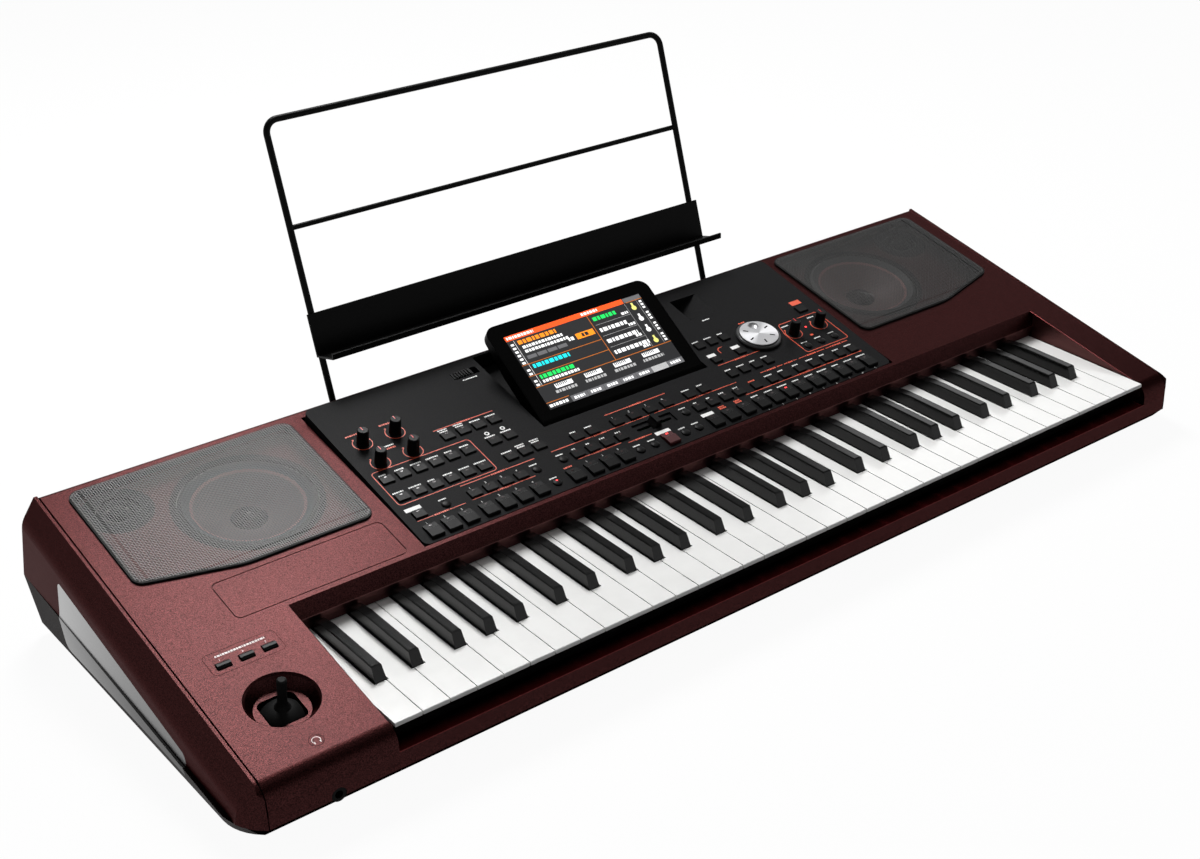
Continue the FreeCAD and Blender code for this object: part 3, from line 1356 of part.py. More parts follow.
def control_panel():
    """The wedge-shaped control panel with its holes, display tray and pockets."""
    seat = on_panel(joined([panel_top(), panel_skirt()])).cut(below_seat())
    inside = on_panel(joined([display_tray(), usb_box()]))
    panel = joined([seat, inside] + [on_panel(post) for post in board_posts()])
    well = block(FADER_CENTRE, FADER_WELL, -FADER_WELL_DEPTH, 1)
    return panel.cut([on_panel(usb_pocket()), on_panel(hinge_bore()), on_panel(well)])


# Buttons, knobs and the other controls

def button_stem(centre, size):
    """The stem under a rectangular button."""
    return block(centre, (size[0] / 3, size[1] / 3), -BUTTON_STEM - BUTTON_TRAVEL, -PANEL_THICK)


def small_button(centre, size):
    """A flat button with drafted sides on a stem."""
    lower = rectangle_wire(centre, size)
    upper = rectangle_wire(centre, (size[0] - 2 * BUTTON_DRAFT, size[1] - 2 * BUTTON_DRAFT))
    upper.translate(V(0, 0, BUTTON_PROUD))
    cap = Part.makeLoft([lower, upper], True, True)
    return joined([cap, block(centre, size, -PANEL_THICK, 0), button_stem(centre, size)])


def big_button(centre, size):
    """A two-step button: low along its back third, high in front."""
    u, w = centre
    front = w - size[1] / 2
    back = w + size[1] / 2
    step = back - size[1] * BIG_BUTTON_STEP
    shoulder = BIG_BUTTON_HIGH - BIG_BUTTON_EDGE
    points = [(front, -PANEL_THICK), (front, shoulder), (front + BIG_BUTTON_EDGE, BIG_BUTTON_HIGH),
              (step - BIG_BUTTON_EDGE, BIG_BUTTON_HIGH), (step, shoulder), (back, BIG_BUTTON_LOW),
              (back, -PANEL_THICK)]
    cap = side_prism(points, u - size[0] / 2, u + size[0] / 2)
    return joined([cap, button_stem(centre, size)])


def round_button(centre):
    """A round button with a domed top."""
    radius = ROUND_BUTTON_RADIUS
    stem_low = -BUTTON_STEM - BUTTON_TRAVEL
    shoulder = BUTTON_PROUD * ROUND_BUTTON_SHOULDER
    profile = [(0, stem_low), (radius / 2, stem_low), (radius / 2, -PANEL_THICK), (radius, -PANEL_THICK)]
    for step in range(ROUND_BUTTON_STEPS + 1):
        angle = math.pi / 2 * step / ROUND_BUTTON_STEPS
        profile.append((radius * math.cos(angle), shoulder + (BUTTON_PROUD - shoulder) * math.sin(angle)))
    profile[-1] = (0, BUTTON_PROUD)
    return turned(profile, centre)


def knob(centre):
    """A knob with a lightly tapered grip, a pointer groove and its shaft."""
    low = KNOB_LIFT
    high = KNOB_LIFT + KNOB_HEIGHT
    shaft_low = -BOARD_DEPTH + KNOB_LIFT
    profile = [(0, shaft_low), (KNOB_SHAFT_RADIUS, shaft_low), (KNOB_SHAFT_RADIUS, low), (KNOB_RADIUS, low),
               (KNOB_TOP_RADIUS, high - KNOB_EDGE), (KNOB_TOP_RADIUS - KNOB_EDGE, high), (0, high)]
    notch_centre = (centre[0], centre[1] + KNOB_TOP_RADIUS / 2)
    notch = block(notch_centre, (KNOB_NOTCH, KNOB_TOP_RADIUS + 1), high - KNOB_NOTCH, high + 1)
    return turned(profile, centre).cut(notch)


def value_dial():
    """The value dial: a low drum, its face plate and a finger dimple."""
    low = KNOB_LIFT
    shaft_low = -BOARD_DEPTH + KNOB_LIFT
    profile = [(0, shaft_low), (KNOB_SHAFT_RADIUS, shaft_low), (KNOB_SHAFT_RADIUS, low), (DIAL_RADIUS, low),
               (DIAL_RADIUS, DIAL_BASE_HEIGHT - DIAL_EDGE), (DIAL_RADIUS - DIAL_EDGE, DIAL_BASE_HEIGHT),
               (DIAL_PLATE_RADIUS + DIAL_PLATE_DRAFT, DIAL_BASE_HEIGHT),
               (DIAL_PLATE_RADIUS, DIAL_PLATE_HEIGHT), (0, DIAL_PLATE_HEIGHT)]
    reach = DIAL_PLATE_RADIUS - DIAL_DIMPLE_INSET
    angle = math.radians(DIAL_DIMPLE_ANGLE)
    ball = (DIAL_DIMPLE_RADIUS ** 2 + DIAL_DIMPLE_DEPTH ** 2) / (2 * DIAL_DIMPLE_DEPTH)
    place = V(DIAL_CENTRE[0] + reach * math.cos(angle), DIAL_CENTRE[1] + reach * math.sin(angle),
              DIAL_PLATE_HEIGHT + ball - DIAL_DIMPLE_DEPTH)
    return turned(profile, DIAL_CENTRE).cut(Part.makeSphere(ball, place))


def crossfader():
    """The sliding fader cap: a waisted grip on a flat stem."""
    u, w = FADER_CENTRE
    half = FADER_CAP[0] / 2
    low = -FADER_WELL_DEPTH + KNOB_LIFT
    high = low + FADER_CAP_HEIGHT
    waist = high * FADER_WAIST_RISE
    points = [(u - half, low), (u + half, low), (u + half * FADER_WAIST, waist),
              (u + half * FADER_CREST, high), (u - half * FADER_CREST, high), (u - half * FADER_WAIST, waist)]
    cap = front_prism(points, w - FADER_CAP[1] / 2, w + FADER_CAP[1] / 2)
    return joined([cap, block(FADER_CENTRE, FADER_STEM, -BOARD_DEPTH + KNOB_LIFT, low)])


def display_latch():
    """The sliding latch of the display, with a ribbed back."""
    u = LATCH_CENTRE[0] - LATCH_WELL[0] / 2 + LATCH_CAP[0] / 2 + BUTTON_FIT
    w = LATCH_CENTRE[1]
    pieces = [block((u, w), LATCH_CAP, -PANEL_THICK, LATCH_PLATE)]
    pitch = LATCH_CAP[0] / (LATCH_RIBS + 1)
    for index in range(LATCH_RIBS):
        centre = (u - LATCH_CAP[0] / 2 + pitch * (index + 1), w)
        rib = (pitch / 2, LATCH_CAP[1] - 1)
        pieces.append(block(centre, rib, LATCH_PLATE, LATCH_PLATE + LATCH_RIB_HEIGHT))
    return joined(pieces)


def assign_switches():
    """The three small switches behind the joystick, with rounded backs."""
    solids = []
    half = SWITCH_SIZE[1] / 2
    shoulder = SWITCH_PROUD * SWITCH_ROUND
    for x, s in switch_centres():
        points = [(s - half, -SWITCH_STEM), (s + half, -SWITCH_STEM), (s + half, shoulder),
                  (s + half * SWITCH_ROUND, SWITCH_PROUD), (s - half * SWITCH_ROUND, SWITCH_PROUD),
                  (s - half, shoulder)]
        solids.append(on_deck(side_prism(points, x - SWITCH_SIZE[0] / 2, x + SWITCH_SIZE[0] / 2)))
    return solids


# Display

def in_display(shape):
    """Turn a piece drawn with the display lying flat about its hinge to its rest angle, then place it."""
    laid = shape.copy()
    laid.rotate(V(0, 0, 0), V(1, 0, 0), DISPLAY_REST_ANGLE - PANEL_ANGLE)
    laid.translate(V(DISPLAY_CENTRE, DISPLAY_PIVOT_W, -DISPLAY_PIVOT_DEPTH))
    return on_panel(laid)


def display_body_flat():
    """The display's case lying flat: rounded back corners and a barrel front edge on its hinge."""
    half = DISPLAY_THICK / 2
    back = DISPLAY_LENGTH - half
    corners = rectangle((0, back / 2), (DISPLAY_WIDTH, back))
    slab = plan_prism(corners, -half, half, {2: DISPLAY_CORNER, 3: DISPLAY_CORNER})
    barrel = Part.makeCylinder(half, DISPLAY_WIDTH, V(-DISPLAY_WIDTH / 2, 0, 0), V(1, 0, 0))
    under = [(back * DISPLAY_UNDERCUT, -half), (back + 1, -half), (back + 1, 0)]
    pin_span = DISPLAY_WIDTH + 2 * DISPLAY_PIN_LENGTH
    pins = Part.makeCylinder(DISPLAY_PIN_RADIUS, pin_span, V(-pin_span / 2, 0, 0), V(1, 0, 0))
    return joined([slab.cut(side_prism(under, -DISPLAY_WIDTH, DISPLAY_WIDTH)), barrel, pins])


def glass_flat(shrink, high):
    """The display's glass or its seat, drawn lying flat."""
    inset = DISPLAY_GLASS_INSET + shrink
    low = DISPLAY_THICK / 2 - DISPLAY_GLASS_THICK
    length = DISPLAY_LENGTH - DISPLAY_THICK / 2 - DISPLAY_GLASS_INSET - 2 * shrink
    radius = DISPLAY_CORNER - DISPLAY_GLASS_INSET
    corners = rectangle((0, shrink + length / 2), (DISPLAY_WIDTH - 2 * inset, length))
    return plan_prism(corners, low, high, {2: radius, 3: radius})


def display_housing():
    """The display's case with a sunk seat for its glass."""
    return in_display(display_body_flat().cut(glass_flat(0, DISPLAY_THICK)))


def display_glass():
    """The touch glass, flush with the case."""
    return in_display(glass_flat(DISPLAY_GLASS_FIT, DISPLAY_THICK / 2))


# Joystick

def boot_pivot_depth():
    """How far under the deck the joystick's pivots lie."""
    return WELL_DEPTH + BOOT_RADIUS - BOOT_RISE


def on_joystick(shape):
    """Place a piece drawn about the joystick's pivot."""
    placed = shape.copy()
    placed.translate(V(joystick_centre()[0], joystick_centre()[1], -boot_pivot_depth()))
    return on_deck(placed)


def joystick_bar():
    """The round stick, flaring out where it leaves its skirt."""
    top = STICK_HEIGHT + BOOT_RADIUS - BOOT_RISE
    flare_low = BOOT_RADIUS - STICK_COLLAR_DROP
    flare_high = flare_low + STICK_COLLAR_HEIGHT
    profile = [(0, 0), (STICK_RADIUS, 0), (STICK_RADIUS, flare_low), (STICK_COLLAR, flare_low)]
    for share in STICK_COLLAR_STEPS:
        radius = STICK_RADIUS + (STICK_COLLAR - STICK_RADIUS) * (1 - share) ** 2
        profile.append((radius, flare_low + share * STICK_COLLAR_HEIGHT))
    profile += [(STICK_RADIUS, flare_high), (STICK_RADIUS, top - STICK_EDGE), (STICK_RADIUS - STICK_EDGE, top),
                (0, top)]
    return turned(profile)


def joystick_stick():
    """The stick with its square domed skirt and the block that it pivots on."""
    dome = Part.makeSphere(BOOT_RADIUS).cut(Part.makeSphere(BOOT_RADIUS - BOOT_SHELL))
    square = rounded_prism((0, 0), (BOOT_SIZE, BOOT_SIZE), PANEL_CORNER, BOOT_RADIUS * BOOT_SKIRT,
                           BOOT_RADIUS + 1)
    foot = block((0, 0), (STICK_BLOCK, STICK_BLOCK), -GIMBAL_HEIGHT / 2, GIMBAL_HEIGHT)
    bore = Part.makeCylinder(GIMBAL_PIN_RADIUS + GIMBAL_PIN_FIT, GIMBAL_OUTER, V(0, -GIMBAL_OUTER / 2, 0),
                             V(0, 1, 0))
    return on_joystick(joined([dome.common(square), joystick_bar(), foot]).cut(bore))


def joystick_gimbal():
    """The ring between the stick and its base: a pin along the deck for the stick, stubs across it."""
    ring = block((0, 0), (GIMBAL_OUTER, GIMBAL_OUTER), -GIMBAL_HEIGHT / 2, GIMBAL_HEIGHT / 2)
    ring = ring.cut(block((0, 0), (GIMBAL_INNER, GIMBAL_INNER), -GIMBAL_HEIGHT, GIMBAL_HEIGHT))
    pin_start = V(0, -GIMBAL_INNER / 2 - 1, 0)
    pieces = [ring, Part.makeCylinder(GIMBAL_PIN_RADIUS, GIMBAL_INNER + 2, pin_start, V(0, 1, 0))]
    stub_length = GIMBAL_PIN_GAP + GIMBAL_POST
    for side in (-1, 1):
        stub_start = V(side * GIMBAL_OUTER / 2, 0, 0)
        pieces.append(Part.makeCylinder(GIMBAL_PIN_RADIUS, stub_length, stub_start, V(side, 0, 0)))
    return on_joystick(joined(pieces))


def joystick_base():
    """The bracket under the well: two posts for the gimbal's stubs, two legs up to the well's floor."""
    high = -GIMBAL_BASE_DROP
    low = high - GIMBAL_POST
    ceiling = BOOT_RADIUS - BOOT_RISE - WELL_WALL
    post_x = GIMBAL_OUTER / 2 + GIMBAL_PIN_GAP + GIMBAL_POST / 2
    pieces = [block((0, 0), (2 * GIMBAL_LEG_REACH + GIMBAL_POST, GIMBAL_BASE_DEPTH), low, high)]
    for side in (-1, 1):
        pieces.append(block((side * post_x, 0), (GIMBAL_POST, GIMBAL_POST_DEPTH), high - 1, GIMBAL_POST_RISE))
        pieces.append(block((side * GIMBAL_LEG_REACH, 0), (GIMBAL_POST, GIMBAL_BASE_DEPTH), low, ceiling))
    bore_length = 2 * post_x + 2 * GIMBAL_POST
    bore = Part.makeCylinder(GIMBAL_PIN_RADIUS + GIMBAL_PIN_FIT, bore_length, V(-bore_length / 2, 0, 0),
                             V(1, 0, 0))
    return on_joystick(joined(pieces).cut(bore))


# Speakers

def baffle_low():
    """Underside of the speaker baffle, where the speakers are fixed."""
    return -WALL - BAFFLE_DEPTH


def grille_rim():
    """The left rubber rim that carries a grille."""
    outer = grille_prism(RIM_OUTSIDE, -WALL, GRILLE_LIFT)
    return outer.cut(grille_prism(-RIM_INSIDE, -WALL - 1, GRILLE_LIFT + 1))


def speaker_grille():
    """The left grille sheet on its rim."""
    return grille_prism(0, GRILLE_LIFT, GRILLE_LIFT + GRILLE_THICK)


def woofer_basket():
    """Left woofer's steel basket and magnet."""
    low = baffle_low()
    back = low - WOOFER_DEPTH
    magnet_low = back - WOOFER_MAGNET_DEPTH
    edge = WOOFER_CONE_RADIUS + WOOFER_SURROUND
    profile = [(WOOFER_RADIUS, low), (WOOFER_RADIUS, low - WOOFER_FLANGE),
               (WOOFER_CONE_RADIUS, low - WOOFER_FLANGE - WOOFER_SHEET), (WOOFER_MAGNET_RADIUS, back),
               (WOOFER_MAGNET_RADIUS, magnet_low), (0, magnet_low), (0, back),
               (WOOFER_MAGNET_RADIUS - WOOFER_SHEET, back),
               (WOOFER_BASKET_INNER, low - WOOFER_SHEET), (edge, low - WOOFER_FLANGE / 2),
               (edge, low)]
    return turned(profile, (-WOOFER_X, WOOFER_S))


def woofer_cone():
    """Left woofer's cone with its rolled surround and dust cap."""
    low = baffle_low()
    edge = WOOFER_CONE_RADIUS + WOOFER_SURROUND - SPEAKER_PLAY
    roll = WOOFER_CONE_RADIUS + WOOFER_SURROUND / 2
    deep = low - WOOFER_CONE_DROP
    cap_edge = (WOOFER_DUST_CAP * WOOFER_CAP_EDGE_SHARE, deep + WOOFER_DUST_CAP_RISE * WOOFER_CAP_EDGE_RISE)
    top = [(edge, low), (roll, low + WOOFER_ROLL), (WOOFER_CONE_RADIUS, low), (WOOFER_DUST_CAP, deep),
           cap_edge, (0, deep + WOOFER_DUST_CAP_RISE)]
    bottom = [(r, z - WOOFER_CONE_THICK) for r, z in reversed(top[1:])]
    return turned(top + bottom + [(edge, low - WOOFER_CONE_THICK / 2)], (-WOOFER_X, WOOFER_S))


def tweeter():
    """Left tweeter: flange, can and dome."""
    low = baffle_low()
    flange = low - TWEETER_FLANGE
    can = TWEETER_RADIUS * TWEETER_CAN
    profile = [(0, low - TWEETER_DEPTH), (can, low - TWEETER_DEPTH), (can, flange), (TWEETER_RADIUS, flange),
               (TWEETER_RADIUS, low), (TWEETER_DOME + TWEETER_DISH, low),
               (TWEETER_DOME, low - TWEETER_FLANGE / 2),
               (TWEETER_DOME * TWEETER_CAN, low + TWEETER_DOME_RISE * TWEETER_CAN),
               (0, low + TWEETER_DOME_RISE)]
    return turned(profile, (-TWEETER_X, TWEETER_S))


def pair(shape):
    """A piece on the left deck and its mirror image on the right."""
    left = on_deck(shape)
    return [left, mirrored(left)]


# Music stand

def stand_place(rise, forward=0):
    """A point (y, z) on the stand's leaning plane, or in front of it."""
    lean = math.radians(STAND_LEAN)
    y = STAND_FOOT_Y + (rise - STAND_FOOT_RISE) * STAND_SLOPE
    return y - forward * math.cos(lean), KEY_TOP + rise + forward * math.sin(lean)


def stand_point(x, rise):
    """A point in space on the stand's leaning plane."""
    y, z = stand_place(rise)
    return V(x, y, z)


def rod(path_points, radius, corner):
    """A bent rod along straight runs joined by round bends."""
    edges = []
    start = path_points[0]
    for before, bend, after in zip(path_points, path_points[1:], path_points[2:]):
        bend_start, middle, bend_end = corner_points(before, bend, after, corner)
        edges.append(Part.makeLine(start, bend_start))
        edges.append(Part.Arc(bend_start, middle, bend_end).toShape())
        start = bend_end
    edges.append(Part.makeLine(start, path_points[-1]))
    along = path_points[1] - path_points[0]
    profile = Part.Wire(Part.makeCircle(radius, path_points[0], along))
    return Part.Wire(edges).makePipeShell([profile], True, False)


def music_stand_frame():
    """The bent rod of the stand and the rod across its middle."""
    half = STAND_LEG_SPACING / 2
    path = [stand_point(-half, STAND_FOOT_RISE), stand_point(-half, STAND_TOP_RISE),
            stand_point(half, STAND_TOP_RISE), stand_point(half, STAND_FOOT_RISE)]
    bar_start = stand_point(-half, STAND_CROSSBAR)
    crossbar = Part.makeCylinder(STAND_CROSSBAR_RADIUS, 2 * half, bar_start, V(1, 0, 0))
    return joined([rod(path, STAND_ROD_RADIUS, STAND_CORNER), crossbar])


def music_stand_shelf():
    """The folded sheet that carries the music: back, shelf and a small bead."""
    gap = STAND_ROD_RADIUS
    bead = stand_place(SHELF_LOW + SHELF_BEAD, gap + SHELF_LIP + SHELF_BEAD / 3)
    line = [stand_place(SHELF_LOW + SHELF_HEIGHT, gap), stand_place(SHELF_LOW, gap),
            stand_place(SHELF_LOW, gap + SHELF_LIP), bead]
    half = STAND_LEG_SPACING / 2 + SHELF_OVERHANG
    return side_prism(thicken(line, SHELF_THICK), -half, half)


# Inside

def panel_board():
    """The board under the control panel, with a wing on each side of the display's tray."""
    half = PANEL_WIDTH / 2 - BOARD_MARGIN
    beside_tray = TRAY_HALF + TRAY_WALL + BOARD_TRAY_GAP
    tray_low = DISPLAY_CENTRE - beside_tray
    tray_high = DISPLAY_CENTRE + beside_tray
    points = [(-half, WALL), (half, WALL), (half, right_wing_length()), (tray_high, right_wing_length()),
              (tray_high, board_front_width()), (tray_low, board_front_width()),
              (tray_low, left_wing_length()), (-half, left_wing_length())]
    return on_panel(plan_prism(points, -BOARD_DEPTH - BOARD_THICK, -BOARD_DEPTH))


def standing_board(x, width):
    """A board on four legs on the bottom case, with two large chips."""
    floor = BASE_Z + BASE_THICK
    low = floor + BOARD_LEG_HEIGHT
    high = low + BOARD_THICK
    pieces = [block((x, INSIDE_MIDDLE), (width, INSIDE_DEPTH), low, high)]
    for side_x in (-1, 1):
        for side_y in (-1, 1):
            leg_x = x + side_x * (width / 2 - BOARD_LEG)
            leg_y = INSIDE_MIDDLE + side_y * (INSIDE_DEPTH / 2 - BOARD_LEG)
            pieces.append(block((leg_x, leg_y), (BOARD_LEG, BOARD_LEG), floor, low))
    for share in CHIP_SHARES:
        chip_centre = (x + share * width, INSIDE_MIDDLE)
        pieces.append(block(chip_centre, (CHIP_SIZE, CHIP_SIZE), high, high + CHIP_HEIGHT))
    return joined(pieces)


def circuit_boards():
    """The panel's board and the main and amplifier boards on the bottom case."""
    return [panel_board(), standing_board(MAIN_BOARD_X, MAIN_BOARD_WIDTH),
            standing_board(AMPLIFIER_BOARD_X, AMPLIFIER_BOARD_WIDTH)]


def power_supply():
    """The boxed power supply beside the mains inlet."""
    floor = BASE_Z + BASE_THICK
    high = floor + SUPPLY_HEIGHT
    x = INLET_X + SUPPLY_SHIFT
    depth = INSIDE_DEPTH - 2 * SUPPLY_MARGIN
    pieces = [block((x, INSIDE_MIDDLE), (SUPPLY_WIDTH, depth), floor, high)]
    for index in range(SUPPLY_FIN_COUNT):
        fin_x = x + (index - (SUPPLY_FIN_COUNT - 1) / 2) * SUPPLY_FIN_PITCH
        fin_size = (SUPPLY_FIN, depth - 2 * SUPPLY_MARGIN)
        pieces.append(block((fin_x, INSIDE_MIDDLE), fin_size, high, high + SUPPLY_FIN_HEIGHT))
    return joined(pieces)


# Nodes

save("bottom_case", [bottom_case()])
save("feet", feet())
save("screws", screws())
save("upper_case_left", [upper_case_left()])
save("upper_case_right", [upper_case_right()])
save("centre_frame", [centre_frame()])
save("front_rail", [front_rail()])
cap = end_cap_left()
save("end_caps", [cap, mirrored(cap)])
inserts = [side_insert_upper(), side_insert_lower()]
save("side_inserts", inserts + [mirrored(piece) for piece in inserts])
save("control_panel", [control_panel()])
save("grille_rims", pair(grille_rim()))
save("speaker_grilles", pair(speaker_grille()))
save("woofer_baskets", pair(woofer_basket()))
save("woofer_cones", pair(woofer_cone()))
save("tweeters", pair(tweeter()))
save("key_chassis", [key_chassis()])
save("key_felts", key_felts())
for note, solids in keys().items():
    save(note + "_keys", solids)
for name, (size, centres) in rectangular_buttons().items():
    maker = big_button if size == BIG_BUTTON else small_button
    save(name, [on_panel(maker(centre, size)) for centre in centres])
save("round_buttons", [on_panel(round_button(centre)) for centre in round_button_places()])
save("assign_switches", assign_switches())
for name, centre in knob_places().items():
    save(name, [on_panel(knob(centre))])
save("value_dial", [on_panel(value_dial())])
save("crossfader", [on_panel(crossfader())])
save("display_latch", [on_panel(display_latch())])
save("display_housing", [display_housing()])
save("display_glass", [display_glass()])
save("joystick_base", [joystick_base()])
save("joystick_gimbal", [joystick_gimbal()])
save("joystick_stick", [joystick_stick()])
save("music_stand_frame", [music_stand_frame()])
save("music_stand_shelf", [music_stand_shelf()])
save("jack_sockets", jack_sockets())
save("circuit_boards", circuit_boards())
save("power_supply", [power_supply()])
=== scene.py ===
import math

import bpy
from mathutils import Matrix, Vector


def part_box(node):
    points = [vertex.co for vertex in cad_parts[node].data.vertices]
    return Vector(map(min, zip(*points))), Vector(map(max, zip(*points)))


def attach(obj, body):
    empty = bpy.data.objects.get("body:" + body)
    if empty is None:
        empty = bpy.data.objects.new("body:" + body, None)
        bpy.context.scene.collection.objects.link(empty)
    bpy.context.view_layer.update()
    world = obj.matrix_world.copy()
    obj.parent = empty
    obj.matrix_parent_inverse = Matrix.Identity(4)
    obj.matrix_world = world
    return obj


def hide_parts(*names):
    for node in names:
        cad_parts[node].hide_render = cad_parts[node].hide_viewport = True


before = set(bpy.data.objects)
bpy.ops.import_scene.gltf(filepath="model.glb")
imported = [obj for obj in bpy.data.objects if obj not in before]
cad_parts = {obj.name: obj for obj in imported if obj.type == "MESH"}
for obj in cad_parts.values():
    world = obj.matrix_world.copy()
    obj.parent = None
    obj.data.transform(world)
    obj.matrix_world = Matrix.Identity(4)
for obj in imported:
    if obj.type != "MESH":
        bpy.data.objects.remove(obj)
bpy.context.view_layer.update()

# Sizes are millimetres unless a name says otherwise; pieces are made in metres.
MM = 0.001

# The body's sloping planes, as in the CAD model
FRONT_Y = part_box("upper_case_left")[0].y / MM
FRONT_OVERHANG = 4.5
KEY_TOP = 58.5
DECK_ANGLE = 11.2
DECK_Y = FRONT_Y + FRONT_OVERHANG + 150.5
DECK_Z = KEY_TOP + 27.0
PANEL_ANGLE = 13.2
PANEL_GAP = 4.4
PANEL_PROUD = 0.3
PANEL_Y = DECK_Y + PANEL_GAP
PANEL_Z = DECK_Z + PANEL_GAP * math.tan(math.radians(DECK_ANGLE)) + PANEL_PROUD
DISPLAY_ANGLE = 33.3
DISPLAY_PIVOT = (2.0, 88.6, -6.1)
DISPLAY_FACE = 7.0
PARTING_FRONT = 20.5
PARTING_RISE = 0.104
PRINT_LIFT = 0.06

# The space over the keys
KEYS_LEFT = -388.1
KEYS_RIGHT = 459.4
FALL_CREASE = 12.5
FALL_DEPTH = 6.0
WALL_SKIN = 0.3

# Speakers under the grilles, from the body's middle and up the deck
WOOFER_PLACE = (350.0, 137.0)
WOOFER_FRAME = 62.5
CONE_RIM = (44.5, 47.0)
DUST_CAP = 15.2
TWEETER_PLACE = (443.0, 178.0)
TWEETER_FRAME = 28.5
WELL_TOP = -0.4
WELL_LOW = -20.0

# Value dial, across and up the panel
DIAL_CENTRE = (171.0, 95.0)
DIAL_TOP = 5.2
DIAL_FACE = 19.4


# Placing

def on_slope(angle, y, z):
    """A function that puts (across, up the slope, above it) into the shared frame in metres."""
    turn = math.radians(angle)

    def place(u, w, h=0.0):
        return Vector((u, y + w * math.cos(turn) - h * math.sin(turn),
                       z + w * math.sin(turn) + h * math.cos(turn))) * MM
    return place


panel = on_slope(PANEL_ANGLE, PANEL_Y, PANEL_Z)
deck = on_slope(DECK_ANGLE, DECK_Y, DECK_Z)
pivot = panel(*DISPLAY_PIVOT) / MM
display_plane = on_slope(DISPLAY_ANGLE, pivot.y, pivot.z)


def display(u, w, h=0.0):
    """A point on the display, measured from the middle of its hinge."""
    return display_plane(u + DISPLAY_PIVOT[0], w, h)


# Materials

class Nodes:
    """The nodes of one material or of the world."""

    def __init__(self, data):
        data.use_nodes = True
        self.data = data
        self.nodes = data.node_tree.nodes
        self.links = data.node_tree.links

    def feed(self, socket, value):
        """Give an input a constant or the output of another node."""
        if isinstance(value, bpy.types.NodeSocket):
            self.links.new(value, socket)
        else:
            socket.default_value = value

    def add(self, kind, inputs=None):
        """A new node and what goes into it."""
        node = self.nodes.new("ShaderNode" + kind)
        for name, value in (inputs or {}).items():
            self.feed(node.inputs[name], value)
        return node

    def math(self, operation, first, second=0.0):
        """One step of arithmetic on outputs or numbers."""
        node = self.add("Math")
        node.operation = operation
        for socket, value in zip(node.inputs, (first, second)):
            self.feed(socket, value)
        return node.outputs[0]

    def between(self, value, low, high):
        """1 where a value lies between two limits, else 0."""
        above = self.math("GREATER_THAN", value, low)
        return self.math("MULTIPLY", above, self.math("LESS_THAN", value, high))

    def share(self, value, start, length):
        """How far a value has come along a length from its start."""
        return self.math("DIVIDE", self.math("SUBTRACT", value, start), length)

    def distance(self, across, up):
        """Length of a step across and up."""
        square = self.math("ADD", self.math("MULTIPLY", across, across), self.math("MULTIPLY", up, up))
        return self.math("SQRT", square)

    def ranged(self, factor, low, high):
        """Map a 0-1 factor onto a range."""
        return self.add("MapRange", {"Value": factor, "To Min": low, "To Max": high}).outputs["Result"]

    def two_tone(self, factor, dark, light, low=0.35, high=0.65):
        """A colour that runs from dark to light between two values of a factor."""
        ramp = self.add("ValToRGB", {"Fac": factor})
        for element, position, colour in zip(ramp.color_ramp.elements, (low, high), (dark, light)):
            element.position = position
            element.color = [*colour, 1]
        return ramp.outputs["Color"]

    def spread(self, factor, colour, share, low=0.35, high=0.65):
        """A colour that varies with a factor, from darker to lighter."""
        dark = [c * (1 - share) for c in colour]
        light = [c * (1 + share) for c in colour]
        return self.two_tone(factor, dark, light, low, high)

    def mixed(self, factor, first, second):
        """Mix two colours."""
        node = self.add("Mix")
        node.data_type = "RGBA"
        for name, value in (("Factor", factor), ("A", first), ("B", second)):
            self.feed(node.inputs[name], value)
        return node.outputs["Result"]

    def noise(self, scale, detail=3.0, stretch=(1.0, 1.0, 1.0)):
        """Noise fixed to the object's own space, with features about 1/scale metres wide."""
        coords = self.add("TexCoord").outputs["Object"]
        mapping = self.add("Mapping", {"Vector": coords, "Scale": stretch})
        inputs = {"Vector": mapping.outputs["Vector"], "Scale": scale, "Detail": detail}
        return self.add("TexNoise", inputs).outputs["Fac"]

    def axes(self, origin=None, angle=0.0):
        """X, Y and Z of a point in the shared frame, or on a slope from its origin, in metres."""
        vector = self.add("TexCoord").outputs["Object"]
        if origin is not None:
            turn = (math.radians(angle), 0.0, 0.0)
            mapping = self.add("Mapping", {"Vector": vector, "Location": origin, "Rotation": turn})
            mapping.vector_type = "TEXTURE"
            vector = mapping.outputs["Vector"]
        return tuple(self.add("SeparateXYZ", {"Vector": vector}).outputs)


class Material(Nodes):
    """A material whose nodes end in a Principled shader."""

    def __init__(self, name):
        super().__init__(bpy.data.materials.new(name))
        self.bsdf = self.nodes["Principled BSDF"]

    def shade(self, inputs):
        """Set inputs of the Principled shader."""
        for name, value in inputs.items():
            self.feed(self.bsdf.inputs[name], value)

    def bump(self, factor, depth):
        """Relief of a given depth in metres."""
        relief = self.add("Bump", {"Strength": 1.0, "Distance": depth, "Height": factor})
        self.shade({"Normal": relief.outputs["Normal"]})


ROUGHNESS_SPREAD = 0.15


def surface(name, colour, spread, roughness, grain, depth, metallic=0.0, coat=0.0, specular=0.5,
            stretch=(1.0, 1.0, 1.0)):
    """A moulded, painted or brushed surface: fine grain in colour, roughness and relief."""
    material = Material(name)
    factor = material.noise(grain, stretch=stretch)
    low = roughness * (1 - ROUGHNESS_SPREAD)
    high = roughness * (1 + ROUGHNESS_SPREAD)
    material.bump(factor, depth)
    material.shade({"Base Color": material.spread(factor, colour, spread),
                    "Roughness": material.ranged(factor, low, high), "Metallic": metallic,
                    "Coat Weight": coat, "Coat Roughness": 0.1, "Specular IOR Level": specular})
    return material


